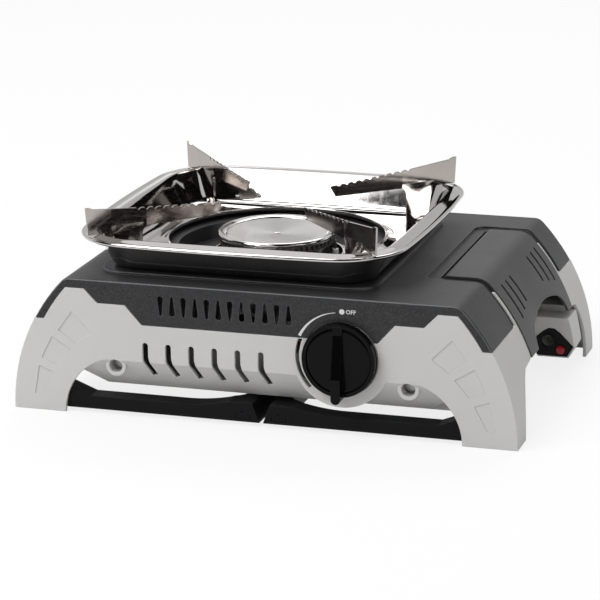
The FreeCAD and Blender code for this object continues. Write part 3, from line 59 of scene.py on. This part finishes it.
def addCamera(values):
    turn, tilt, roll = (math.radians(values[key]) for key in ("turn", "tilt", "roll"))
    look = Vector((-math.sin(turn) * math.cos(tilt), math.cos(turn) * math.cos(tilt), -math.sin(tilt)))
    right = Vector((math.cos(turn), math.sin(turn), 0))
    up = right.cross(look)
    rightRolled = right * math.cos(roll) + up * math.sin(roll)
    upRolled = up * math.cos(roll) - right * math.sin(roll)
    data = bpy.data.cameras.new("camera")
    data.lens = values["lens"]
    data.sensor_width = 36
    data.clip_end = 50
    camera = bpy.data.objects.new("camera", data)
    scene.collection.objects.link(camera)
    rotation = Matrix((rightRolled, upRolled, -look)).transposed().to_4x4()
    camera.matrix_world = Matrix.Translation(values["place"]) @ rotation
    scene.camera = camera


addCamera(cameraValues)
scene.view_settings.view_transform = "Standard"


# screen levels of 0 to 255 as the linear values that shaders take
def linear(level):
    level = level / 255
    return level / 12.92 if level <= 0.04045 else ((level + 0.055) / 1.055) ** 2.4


def colour(red, green=None, blue=None):
    green = red if green is None else green
    blue = red if blue is None else blue
    return (linear(red), linear(green), linear(blue), 1.0)


class Finish:
    def __init__(self, name):
        self.material = bpy.data.materials.new(name)
        self.material.use_nodes = True
        self.tree = self.material.node_tree
        self.shader = self.tree.nodes["Principled BSDF"]
        self.coords = self.tree.nodes.new("ShaderNodeTexCoord").outputs["Object"]

    def node(self, kind, **values):
        made = self.tree.nodes.new(kind)
        for key, value in values.items():
            setattr(made, key, value)
        return made

    def link(self, source, target):
        self.tree.links.new(source, target)

    def set(self, **values):
        for key, value in values.items():
            self.shader.inputs[key.replace("_", " ")].default_value = value
        return self

    # scaled object coordinates, so grain can run along one direction
    def stretched(self, scale):
        mapping = self.node("ShaderNodeMapping")
        mapping.inputs["Scale"].default_value = scale
        self.link(self.coords, mapping.inputs["Vector"])
        return mapping.outputs["Vector"]

    def noise(self, scale, detail=3.0, rough=0.55, vector=None):
        made = self.node("ShaderNodeTexNoise")
        made.inputs["Scale"].default_value = scale
        made.inputs["Detail"].default_value = detail
        made.inputs["Roughness"].default_value = rough
        self.link(vector or self.coords, made.inputs["Vector"])
        return made.outputs["Fac"]

    def remap(self, source, low, high, start=0.3, end=0.7):
        made = self.node("ShaderNodeMapRange")
        made.inputs["From Min"].default_value = start
        made.inputs["From Max"].default_value = end
        made.inputs["To Min"].default_value = low
        made.inputs["To Max"].default_value = high
        self.link(source, made.inputs["Value"])
        return made.outputs["Result"]

    def mixColours(self, factor, first, second):
        made = self.node("ShaderNodeMix", data_type="RGBA")
        for socket, value in ((made.inputs[6], first), (made.inputs[7], second)):
            if isinstance(value, tuple):
                socket.default_value = value
            else:
                self.link(value, socket)
        self.link(factor, made.inputs[0])
        return made.outputs[2]

    def bump(self, height, strength, distance, base=None):
        made = self.node("ShaderNodeBump")
        made.inputs["Strength"].default_value = strength
        made.inputs["Distance"].default_value = distance
        self.link(height, made.inputs["Height"])
        if base:
            self.link(base, made.inputs["Normal"])
        return made.outputs["Normal"]

    def softEdges(self, radius):
        made = self.node("ShaderNodeBevel", samples=6)
        made.inputs["Radius"].default_value = radius
        return made.outputs["Normal"]

    # 1 along edges, 0 elsewhere
    def edgeMask(self, radius, sharpness=0.06):
        bevel = self.softEdges(radius)
        geometry = self.node("ShaderNodeNewGeometry")
        dot = self.node("ShaderNodeVectorMath", operation="DOT_PRODUCT")
        self.link(bevel, dot.inputs[0])
        self.link(geometry.outputs["Normal"], dot.inputs[1])
        return self.remap(dot.outputs["Value"], 1.0, 0.0, 1.0 - sharpness, 1.0)


    # painted highlight on the round of the front and rear folds, where the surface turns 45 degrees
    def foldHighlight(self, amount):
        geometry = self.node("ShaderNodeNewGeometry")
        parts = self.node("ShaderNodeSeparateXYZ")
        self.link(geometry.outputs["Normal"], parts.inputs[0])
        size = self.node("ShaderNodeMath", operation="ABSOLUTE")
        self.link(parts.outputs["Y"], size.inputs[0])
        off = self.node("ShaderNodeMath", operation="SUBTRACT")
        self.link(size.outputs[0], off.inputs[0])
        off.inputs[1].default_value = 0.72
        away = self.node("ShaderNodeMath", operation="ABSOLUTE")
        self.link(off.outputs[0], away.inputs[0])
        return self.remap(away.outputs[0], amount, 0.0, 0.08, 0.26)


print("finishes")


def paintedSheet(name, level, values):
    f = Finish(name)
    fine = f.noise(values["grain"], 2.0, 0.6)
    broad = f.noise(14, 3.0)
    edge = f.edgeMask(0.0009)
    spots = colour(*[v * values["spot"] for v in level])
    wearAndHighlight = colour(*values["edgeColour"])
    paint = f.mixColours(f.remap(fine, 0, 1), colour(*level), spots)
    # painted highlight on the fold rounds, laid into the paint colour
    paint = f.mixColours(f.foldHighlight(values["fold"]), paint, wearAndHighlight)
    # lighter colour along edges, partly wear and partly a painted highlight
    f.link(f.mixColours(f.remap(edge, 0, values["edge"], 0, 1), paint, wearAndHighlight),
           f.shader.inputs["Base Color"])
    f.link(f.remap(broad, values["rough"] - 0.04, values["rough"] + 0.05), f.shader.inputs["Roughness"])
    f.link(f.bump(fine, values["bump"], 0.00012, f.softEdges(values["soft"])),
           f.shader.inputs["Normal"])
    f.set(Metallic=values["metal"], Coat_Weight=values["coat"], Coat_Roughness=values["coatRough"],
          Specular_IOR_Level=values["shine"])
    return f.material


def mouldedPlastic(name, level, values):
    f = Finish(name)
    grain = f.noise(values["grain"], 2.0, 0.5)
    cloud = f.noise(9, 4.0)
    shaded = colour(*[v * values["shade"] for v in level])
    tone = f.mixColours(f.remap(cloud, 0, 1), colour(*level), shaded)
    edge = f.edgeMask(0.0012)
    pale = tuple(min(255, v * values["edgeLift"]) for v in level)
    f.link(f.mixColours(f.remap(edge, 0, 0.5, 0, 1), tone, colour(*pale)), f.shader.inputs["Base Color"])
    f.link(f.remap(grain, values["rough"] - 0.05, values["rough"] + 0.07), f.shader.inputs["Roughness"])
    f.link(f.bump(grain, values["bump"], 0.0001, f.softEdges(values["soft"])), f.shader.inputs["Normal"])
    f.set(Coat_Weight=values["coat"], Coat_Roughness=values["coatRough"],
          Specular_IOR_Level=values["shine"])
    return f.material


def sheetSteel(name, level, values):
    f = Finish(name)
    lines = f.noise(values["lines"], 3.0, 0.6, f.stretched(values["along"]))
    cloud = f.noise(18, 3.0)
    f.link(f.mixColours(f.remap(cloud, 0, 1), colour(*level), colour(*[v * values["shade"] for v in level])),
           f.shader.inputs["Base Color"])
    f.link(f.remap(lines, values["rough"] * 0.7, values["rough"] * 1.3), f.shader.inputs["Roughness"])
    f.link(f.bump(lines, values["bump"], 0.00005, f.softEdges(values["soft"])), f.shader.inputs["Normal"])
    f.set(Metallic=1.0)
    return f.material


# brushed in circles round an upright axis, as turned parts are
def turnedSteel(name, level, values):
    f = Finish(name)
    shift = f.node("ShaderNodeVectorMath", operation="SUBTRACT")
    shift.inputs[1].default_value = values["centre"]
    f.link(f.coords, shift.inputs[0])
    parts = f.node("ShaderNodeSeparateXYZ")
    f.link(shift.outputs[0], parts.inputs[0])
    flat = f.node("ShaderNodeCombineXYZ")
    f.link(parts.outputs["X"], flat.inputs["X"])
    f.link(parts.outputs["Y"], flat.inputs["Y"])
    radius = f.node("ShaderNodeVectorMath", operation="LENGTH")
    f.link(flat.outputs[0], radius.inputs[0])
    ringCoords = f.node("ShaderNodeCombineXYZ")
    f.link(radius.outputs["Value"], ringCoords.inputs["X"])
    f.link(parts.outputs["Z"], ringCoords.inputs["Y"])
    lines = f.noise(values["lines"], 4.0, 0.7, ringCoords.outputs[0])
    f.link(f.mixColours(f.remap(lines, 0, 1), colour(*level), colour(*[v * values["shade"] for v in level])),
           f.shader.inputs["Base Color"])
    f.link(f.remap(lines, values["rough"] * 0.9, values["rough"] * 1.12), f.shader.inputs["Roughness"])
    f.link(f.bump(lines, values["bump"], 0.00006, f.softEdges(values["soft"])), f.shader.inputs["Normal"])
    around = f.node("ShaderNodeVectorMath", operation="CROSS_PRODUCT")
    around.inputs[0].default_value = (0, 0, 1)
    f.link(flat.outputs[0], around.inputs[1])
    f.link(around.outputs[0], f.shader.inputs["Tangent"])
    f.set(Metallic=1.0, Anisotropic=values["spread"])
    return f.material


# edgeColour, edge and fold set the painted highlight along the sheet paint's edges and fold rounds
finishValues = {
    "shell": {"grain": 1000, "bump": 0.16, "rough": 0.4, "soft": 0.0011, "metal": 0.12, "spot": 1.45,
              "coat": 0.03, "coatRough": 0.2, "shine": 0.14, "edge": 0.35,
              "edgeColour": (128, 129, 132), "fold": 0.62},
    "lid": {"grain": 1100, "bump": 0.14, "rough": 0.38, "soft": 0.0009, "metal": 0.12, "spot": 1.3,
            "coat": 0.04, "coatRough": 0.2, "shine": 0.17, "edge": 0.3,
            "edgeColour": (112, 113, 116), "fold": 0.0},
    "pale": {"grain": 2200, "bump": 0.16, "rough": 0.5, "soft": 0.0009, "shade": 0.985,
             "edgeLift": 1.06, "coat": 0.0, "coatRough": 0.3, "shine": 0.4},
    "black": {"grain": 1500, "bump": 0.14, "rough": 0.4, "soft": 0.0009, "shade": 0.85,
              "edgeLift": 1.9, "coat": 0.0, "coatRough": 0.3, "shine": 0.1},
    "gloss": {"grain": 900, "bump": 0.02, "rough": 0.1, "soft": 0.0007, "shade": 0.95,
              "edgeLift": 1.6, "coat": 0.0, "coatRough": 0.05, "shine": 0.1},
    "cap": {"grain": 900, "bump": 0.03, "rough": 0.22, "soft": 0.0005, "shade": 0.9,
            "edgeLift": 1.1, "coat": 0.2, "coatRough": 0.1, "shine": 0.3},
    "polished": {"lines": 180, "along": (1, 1, 1), "rough": 0.07, "bump": 0.015, "soft": 0.0004,
                 "shade": 0.96},
    "pressed": {"lines": 120, "along": (1, 1, 5), "rough": 0.12, "bump": 0.012, "soft": 0.0004,
                "shade": 0.93},
    "galvanised": {"lines": 420, "along": (1, 6, 1), "rough": 0.34, "bump": 0.2, "soft": 0.0005,
                   "shade": 0.92},
    "blued": {"lines": 300, "along": (1, 4, 1), "rough": 0.55, "bump": 0.15, "soft": 0.0005,
              "shade": 0.8},
    "burnerTop": {"lines": 2600, "rough": 0.24, "bump": 0.012, "soft": 0.0005, "spread": 0.8,
                  "shade": 0.95, "centre": (-0.026, 0.0075, 0)},
    "castRing": {"lines": 1500, "rough": 0.36, "bump": 0.3, "soft": 0.0003, "spread": 0.2,
                 "shade": 0.9, "centre": (-0.026, 0.0075, 0)},
}

shellPaint = paintedSheet("shellPaint", (46, 46, 47), finishValues["shell"])
lidPaint = paintedSheet("lidPaint", (50, 50, 50), finishValues["lid"])
palePlastic = mouldedPlastic("palePlastic", (205, 204, 202), finishValues["pale"])
blackPlastic = mouldedPlastic("blackPlastic", (20, 20, 22), finishValues["black"])
knobBlack = mouldedPlastic("knobBlack", (9, 9, 10), finishValues["gloss"])
redPlastic = mouldedPlastic("redPlastic", (168, 8, 16), finishValues["cap"])
polishedSteel = sheetSteel("polishedSteel", (198, 195, 193), finishValues["polished"])
supportSteel = sheetSteel("supportSteel", (182, 175, 170), finishValues["pressed"])
zincSheet = sheetSteel("zincSheet", (160, 160, 158), finishValues["galvanised"])
burnerSteel = turnedSteel("burnerSteel", (205, 203, 200), finishValues["burnerTop"])
castAlloy = turnedSteel("castAlloy", (176, 174, 171), finishValues["castRing"])
darkSteel = sheetSteel("darkSteel", (52, 52, 54), finishValues["blued"])
brass = sheetSteel("brass", (206, 176, 110), finishValues["galvanised"])
copper = sheetSteel("copper", (196, 124, 92), finishValues["galvanised"])
whiteCeramic = mouldedPlastic("whiteCeramic", (232, 230, 224), finishValues["gloss"])

nodeFinish = {
    "top_shell": shellPaint, "canister_lid": lidPaint, "lower_housing": palePlastic,
    "gas_inlet_housing": palePlastic, "gas_inlet_plate": blackPlastic,
    "gas_inlet_port": blackPlastic, "release_button": redPlastic, "drip_tray": polishedSteel,
    "pot_support_rear_right": supportSteel, "pot_support_rear_left": supportSteel,
    "pot_support_front_left": supportSteel, "pot_support_front_right": supportSteel,
    "burner_cap": burnerSteel, "burner_ring": castAlloy, "burner_base": castAlloy,
    "guard_ring": burnerSteel, "mixing_tube": zincSheet, "burner_bracket": zincSheet,
    "igniter_insulator": whiteCeramic, "igniter_wire": zincSheet, "gas_valve": castAlloy,
    "pressure_regulator": castAlloy, "magnet_ring": blackPlastic, "supply_pipe": copper,
    "burner_pipe": copper, "gas_nozzle": brass, "canister_cradle": darkSteel,
    "heat_shield": darkSteel, "lid_hinge_pins": zincSheet, "leg_hinge_pins": zincSheet,
    "case_screws": zincSheet, "knob_shaft": brass, "control_knob": knobBlack,
    "leg_frame_right": blackPlastic, "leg_frame_left": blackPlastic,
}

for name, material in nodeFinish.items():
    for slot in cadNodes[name].material_slots:
        slot.material = material


def meshObject(name, points, faces, material, body):
    mesh = bpy.data.meshes.new(name)
    mesh.from_pydata(points, [], faces)
    mesh.materials.append(material)
    made = bpy.data.objects.new(name, mesh)
    scene.collection.objects.link(made)
    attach(made, body)
    return made


# joins rings of points into one skin; each ring has the same number of points
def skinRings(name, rings, material, body, closed=False, capped=False):
    count = len(rings[0])
    points = [point for ring in rings for point in ring]
    faces = []
    pairs = len(rings) if closed else len(rings) - 1
    for row in range(pairs):
        first, second = row * count, ((row + 1) % len(rings)) * count
        for index in range(count):
            after = (index + 1) % count
            faces.append((first + index, first + after, second + after, second + index))
    if capped:
        faces.append(tuple(range(count))[::-1])
        faces.append(tuple(range((len(rings) - 1) * count, len(rings) * count)))
    made = meshObject(name, points, faces, material, body)
    bm = bmesh.new()
    bm.from_mesh(made.data)
    bmesh.ops.recalc_face_normals(bm, faces=bm.faces)
    bm.to_mesh(made.data)
    bm.free()
    made.data.shade_smooth()
    return made


print("drip tray")
trayValues = {
    "centre": (-26.0, 7.5),
    "half": 129.0,
    "bow": 2.6,
    "corner": 50.0,
    "sidePoints": 26,
    "cornerPoints": 22,
    # distance in from the rim's outer edge, height
    "topSkin": [(2.0, 128.9), (0.8, 129.3), (0.1, 130.2), (0.0, 131.0), (0.35, 131.7), (1.1, 132.15),
                (2.0, 132.2), (2.9, 131.95), (3.7, 131.7), (4.8, 131.7), (7.5, 132.15), (10.2, 132.65),
                (12.0, 132.95), (13.1, 133.0), (13.9, 132.7), (14.6, 131.8), (15.2, 130.7),
                (17.5, 126.4), (20.3, 121.0), (23.0, 115.8), (24.6, 112.7), (25.6, 110.9), (26.7, 109.4),
                (28.2, 108.2), (30.0, 107.6), (32.5, 107.42)],
    # distance from the burner's axis, height
    "topWell": [(93.5, 107.42), (91.6, 107.6), (90.0, 108.1), (87.6, 109.2), (85.6, 110.1), (84.4, 110.8),
                (83.8, 111.6), (83.6, 112.3), (83.3, 112.5), (82.95, 112.3), (82.82, 111.4), (82.85, 109.7)],
    "lowWell": [(84.3, 109.4), (90.4, 106.7), (92.0, 106.42), (94.5, 106.42)],
    "lowSkin": [(31.0, 106.42), (28.4, 106.75), (26.6, 107.9), (25.2, 109.8), (23.8, 112.2), (19.6, 119.9),
                (14.3, 130.0), (13.5, 131.4), (12.4, 131.95), (10.0, 131.7), (7.5, 131.25), (4.8, 130.8),
                (3.7, 130.4), (2.9, 129.8)],
}


# one point ring of a square with bowed sides and round corners, inset from the rim
def bowedSquare(values, inset, height):
    half = values["half"] - inset
    corner = max(values["corner"] - inset, 4.0)
    bow = values["bow"] * max(0.0, 1 - inset / 30)
    flat = half - corner
    ring = []
    for turn in range(4):
        angle = turn * math.pi / 2
        local = []
        for step in range(values["sidePoints"]):
            along = -flat + 2 * flat * step / values["sidePoints"]
            local.append((along, half - bow * (along / flat) ** 2))
        lean = math.atan(2 * bow / flat)
        for step in range(values["cornerPoints"]):
            share = step / values["cornerPoints"]
            sweep = lean + share * (math.pi / 2 - 2 * lean)
            low, high = math.sin(lean), math.cos(lean)
            across = (math.sin(sweep) - low) / (high - low)
            down = (high - math.cos(sweep)) / (high - low)
            local.append((flat + (corner - bow) * across, half - bow - (corner - bow) * down))
        for x, y in local:
            ring.append((x * math.cos(angle) + y * math.sin(angle),
                         y * math.cos(angle) - x * math.sin(angle), height))
    return ring


def addTray(values):
    corners = bowedSquare(values, 32.5, 0)
    headings = [math.atan2(y, x) for x, y, z in corners]
    rings = [bowedSquare(values, inset, height) for inset, height in values["topSkin"]]
    for radius, height in values["topWell"] + values["lowWell"]:
        rings.append([(radius * math.cos(a), radius * math.sin(a), height) for a in headings])
    rings += [bowedSquare(values, inset, height) for inset, height in values["lowSkin"]]
    x0, y0 = values["centre"]
    rings = [[((x + x0) * mm, (y + y0) * mm, z * mm) for x, y, z in ring] for ring in rings]
    tray = skinRings("tray_pan", rings, polishedSteel, "tray", closed=True)
    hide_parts("drip_tray")


addTray(trayValues)


print("burner cap")
capValues = {
    "centre": (-26.0, 7.5),
    # radius, height
    "rim": [(45.5, 112.9), (45.6, 114.9), (45.35, 115.7), (44.7, 116.4), (43.7, 116.75), (42.6, 116.8),
            (41.4, 116.65), (39.9, 116.2), (38.9, 115.75), (38.4, 115.3), (38.4, 112.9)],
    "dish": [(38.35, 112.9), (38.35, 115.2), (37.6, 115.3), (36.4, 115.25), (30.0, 114.85), (20.0, 114.25),
             (10.0, 113.6), (3.0, 113.2), (0.3, 113.15), (0.3, 112.9)],
    "steps": 160,
}


def turnedPiece(name, centre, profile, steps, material, body):
    x0, y0 = centre
    rings = []
    for radius, height in profile:
        rings.append([((x0 + radius * math.cos(2 * math.pi * i / steps)) * mm,
                       (y0 + radius * math.sin(2 * math.pi * i / steps)) * mm, height * mm)
                      for i in range(steps)])
    return skinRings(name, rings, material, body, closed=True)


def addBurnerCap(values):
    rim = turnedPiece("cap_rim", values["centre"], values["rim"], values["steps"], polishedSteel,
                      "stove")
    dish = turnedPiece("cap_dish", values["centre"], values["dish"], values["steps"], burnerSteel,
                       "stove")
    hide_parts("burner_cap")
    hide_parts("burner_cap")


addBurnerCap(capValues)


print("red cap")
redCap = {
    "crown": 0.5,
    "edge": 0.5,
    "shrink": 0.12,
}


# domed face on a short round stem, in place of the flat one
def addRedCap(values):
    low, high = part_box("release_button")
    x0, z0 = (low[0] + high[0]) / 2, (low[2] + high[2]) / 2
    radius = (high[0] - low[0]) / 2 - values["shrink"] * mm
    front = low[1]
    edge, crown = values["edge"] * mm, values["crown"] * mm
    profile = [(radius, high[1]), (radius, front + crown + edge)]
    for step in range(1, 6):
        angle = math.radians(18 * step)
        profile.append((radius - edge * (1 - math.cos(angle)), front + crown + edge * (1 - math.sin(angle))))
    for share in (0.7, 0.5, 0.3, 0.12):
        profile.append((radius * share, front + crown * share ** 2))
    rings = [[(x0 + r * math.cos(i * math.pi / 24), y, z0 + r * math.sin(i * math.pi / 24))
              for i in range(48)] for r, y in profile]
    cap = skinRings("red_cap", rings, redPlastic, "inlet_button", capped=True)
    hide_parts("release_button")


addRedCap(redCap)


print("knob face")
knobFace = {
    "centre": (62.6, 58.7),
    "floor": -125.65,       # just in front of the knob's recess
    "radius": 24.3,
    "edge": 1.0,
    "crown": 1.5,
}


def addKnobFace(values):
    x0, z0 = values["centre"]
    rings = []
    profile = [(values["radius"], 0.0), (values["radius"], values["edge"] - 0.3),
               (values["radius"] - 0.3, values["edge"])]
    for step in range(1, 13):
        share = 1 - step / 12.5
        profile.append((values["radius"] * share, values["edge"] + values["crown"] * (1 - share ** 2)))
    for radius, rise in profile:
        ring = []
        for index in range(96):
            angle = index * math.pi / 48
            ring.append(((x0 + radius * math.cos(angle)) * mm, (values["floor"] - rise) * mm,
                         (z0 + radius * math.sin(angle)) * mm))
        rings.append(ring)
    skinRings("knob_face", rings, knobBlack, "knob", capped=True)


addKnobFace(knobFace)


print("dial marks")
dialMarks = {
    "centre": (62.6, 58.7),
    "face": -120.5,
    "arcRadius": 34.4,
    "arcFrom": 96.0,
    "arcTo": 154.0,
    "arcThin": 0.45,
    "arcThick": 2.2,
    "dot": (63.9, 94.0),
    "dotRadius": 2.0,
    "word": (66.9, 92.7),
    "letterSize": 4.3,
}

printWhite = mouldedPlastic("printWhite", (226, 226, 224), finishValues["pale"])


def onFront(x, z, proud=0.06):
    return (x * mm, (dialMarks["face"] - proud) * mm, z * mm)


def addDialMarks(values):
    steps = 40
    points, faces = [], []
    for index in range(steps + 1):
        share = index / steps
        angle = math.radians(values["arcFrom"] + share * (values["arcTo"] - values["arcFrom"]))
        half = (values["arcThin"] + share ** 1.3 * (values["arcThick"] - values["arcThin"])) / 2
        for radius in (values["arcRadius"] - half, values["arcRadius"] + half):
            points.append(onFront(values["centre"][0] + radius * math.cos(angle),
                                  values["centre"][1] + radius * math.sin(angle)))
    for index in range(steps):
        faces.append((2 * index, 2 * index + 1, 2 * index + 3, 2 * index + 2))
    meshObject("dial_arc", points, faces, printWhite, "stove")

    x0, z0 = values["dot"]
    points = [onFront(x0, z0)]
    for index in range(32):
        angle = index * math.pi / 16
        points.append(onFront(x0 + values["dotRadius"] * math.cos(angle),
                              z0 + values["dotRadius"] * math.sin(angle)))
    faces = [(0, i + 1, (i + 1) % 32 + 1) for i in range(32)]
    meshObject("dial_dot", points, faces, printWhite, "stove")

    letters = bpy.data.curves.new("dial_off", "FONT")
    letters.body = "OFF"
    letters.size = values["letterSize"] * mm
    letters.offset = 0.00006
    letters.materials.append(printWhite)
    word = bpy.data.objects.new("dial_off", letters)
    word.location = onFront(*values["word"])
    word.rotation_euler = (math.pi / 2, 0, 0)
    scene.collection.objects.link(word)
    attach(word, "stove")


addDialMarks(dialMarks)


print("stage")


stageValues = {
    "level": 236,
    "rough": 0.7,
    "glow": 0.82,           # share of plain white that the camera and mirrors see on the floor
    "size": 6.0,
    "drop": 0.0002,
}


def addStage(values):
    f = Finish("studioWhite")
    f.set(Base_Color=colour(values["level"]), Roughness=values["rough"])
    path = f.node("ShaderNodeLightPath")
    glow = f.node("ShaderNodeEmission")
    glow.inputs["Color"].default_value = (1, 1, 1, 1)
    glow.inputs["Strength"].default_value = 1.0
    mix = f.node("ShaderNodeMixShader")
    amount = f.node("ShaderNodeMath", operation="MULTIPLY")
    amount.inputs[1].default_value = values["glow"]
    seen = f.node("ShaderNodeMath", operation="MAXIMUM")
    f.link(path.outputs["Is Camera Ray"], seen.inputs[0])
    f.link(path.outputs["Is Glossy Ray"], seen.inputs[1])
    f.link(seen.outputs[0], amount.inputs[0])
    f.link(amount.outputs[0], mix.inputs[0])
    f.link(f.shader.outputs[0], mix.inputs[1])
    f.link(glow.outputs[0], mix.inputs[2])
    f.link(mix.outputs[0], f.tree.nodes["Material Output"].inputs["Surface"])
    size = values["size"]
    mesh = bpy.data.meshes.new("floor")
    mesh.from_pydata([(-size, -size, 0), (size, -size, 0), (size, size, 0), (-size, size, 0)], [],
                     [(0, 1, 2, 3)])
    mesh.materials.append(f.material)
    floor = bpy.data.objects.new("floor", mesh)
    floor.location.z = -values["drop"]
    scene.collection.objects.link(floor)


# white behind the stove for the camera, mirrors and glass; a soft gradient lights the rest
worldValues = {
    "low": (0.22, 0.22, 0.225, 1),
    "high": (0.5, 0.5, 0.5, 1),
    "highAt": 0.9,
}


def addWorld(values):
    world = bpy.data.worlds.new("studio")
    scene.world = world
    world.use_nodes = True
    tree = world.node_tree
    background = tree.nodes["Background"]
    path = tree.nodes.new("ShaderNodeLightPath")
    coords = tree.nodes.new("ShaderNodeTexCoord")
    split = tree.nodes.new("ShaderNodeSeparateXYZ")
    ramp = tree.nodes.new("ShaderNodeValToRGB")
    ramp.color_ramp.elements[0].position = 0.0
    ramp.color_ramp.elements[0].color = values["low"]
    ramp.color_ramp.elements[1].position = values["highAt"]
    ramp.color_ramp.elements[1].color = values["high"]
    seen = path.outputs["Is Camera Ray"]
    for ray in ("Is Glossy Ray", "Is Transmission Ray"):
        most = tree.nodes.new("ShaderNodeMath")
        most.operation = "MAXIMUM"
        tree.links.new(seen, most.inputs[0])
        tree.links.new(path.outputs[ray], most.inputs[1])
        seen = most.outputs[0]
    mix = tree.nodes.new("ShaderNodeMix")
    mix.data_type = "RGBA"
    mix.inputs[7].default_value = (1, 1, 1, 1)
    tree.links.new(coords.outputs["Generated"], split.inputs[0])
    tree.links.new(split.outputs["Z"], ramp.inputs[0])
    tree.links.new(ramp.outputs[0], mix.inputs[6])
    tree.links.new(seen, mix.inputs[0])
    tree.links.new(mix.outputs[2], background.inputs["Color"])
    background.inputs["Strength"].default_value = 1.0


# panels round the studio that only mirrors see, so polished steel keeps its contrast
panels = {
    # level; from and to in degrees round the stove; low and high edge in metres
    "dark_front": (20, 182.0, 400.0, 0.0, 2.7),
    "grey_back": (212, 40.0, 182.0, 0.55, 1.75),
}
panelRadius = 3.4
panelSteps = 24
darkCeiling = {"level": 16, "height": 2.72, "back": 1.0}


def addPanels(values):
    for name, (level, start, end, low, high) in values.items():
        points, faces = [], []
        for index in range(panelSteps + 1):
            angle = math.radians(start + (end - start) * index / panelSteps)
            for height in (low, high):
                points.append((panelRadius * math.cos(angle), panelRadius * math.sin(angle), height))
            if index:
                last = 2 * index
                faces.append((last - 2, last, last + 1, last - 1))
        hangPanel(name, level, points, faces)
    reach, height = panelRadius, darkCeiling["height"]
    points = [(-reach, -reach, height), (reach, -reach, height),
              (reach, darkCeiling["back"], height), (-reach, darkCeiling["back"], height)]
    hangPanel("dark_ceiling", darkCeiling["level"], points, [(0, 1, 2, 3)])


def hangPanel(name, level, points, faces):
    material = bpy.data.materials.new(name)
    material.use_nodes = True
    tree = material.node_tree
    tree.nodes.remove(tree.nodes["Principled BSDF"])
    glow = tree.nodes.new("ShaderNodeEmission")
    glow.inputs["Color"].default_value = colour(level)
    tree.links.new(glow.outputs[0], tree.nodes["Material Output"].inputs["Surface"])
    mesh = bpy.data.meshes.new(name)
    mesh.from_pydata(points, [], faces)
    mesh.materials.append(material)
    panel = bpy.data.objects.new(name, mesh)
    scene.collection.objects.link(panel)
    panel.visible_camera = False
    panel.visible_diffuse = False
    panel.visible_shadow = False
    panel.visible_transmission = False


lamps = {
    "key": {"place": (-1.3, -1.5, 2.0), "size": (1.4, 1.0), "power": 32.0},
    "fill": {"place": (1.9, -1.2, 1.3), "size": (1.0, 1.2), "power": 3.0},
    "top": {"place": (-0.62, -0.45, 2.3), "size": (1.8, 0.5), "power": 16.0},
    "back": {"place": (-0.2, 1.5, 2.1), "size": (2.0, 0.8), "power": 20.0},
}

lampAim = Vector((0, 0, 0.07))


def addLamps(values):
    for name, lamp in values.items():
        data = bpy.data.lights.new(name, "AREA")
        data.shape = "RECTANGLE"
        data.size, data.size_y = lamp["size"]
        data.energy = lamp["power"]
        made = bpy.data.objects.new(name, data)
        made.location = lamp["place"]
        aim = lampAim - Vector(lamp["place"])
        made.rotation_euler = aim.to_track_quat("-Z", "Y").to_euler()
        scene.collection.objects.link(made)


addStage(stageValues)
addWorld(worldValues)
addPanels(panels)
addLamps(lamps)
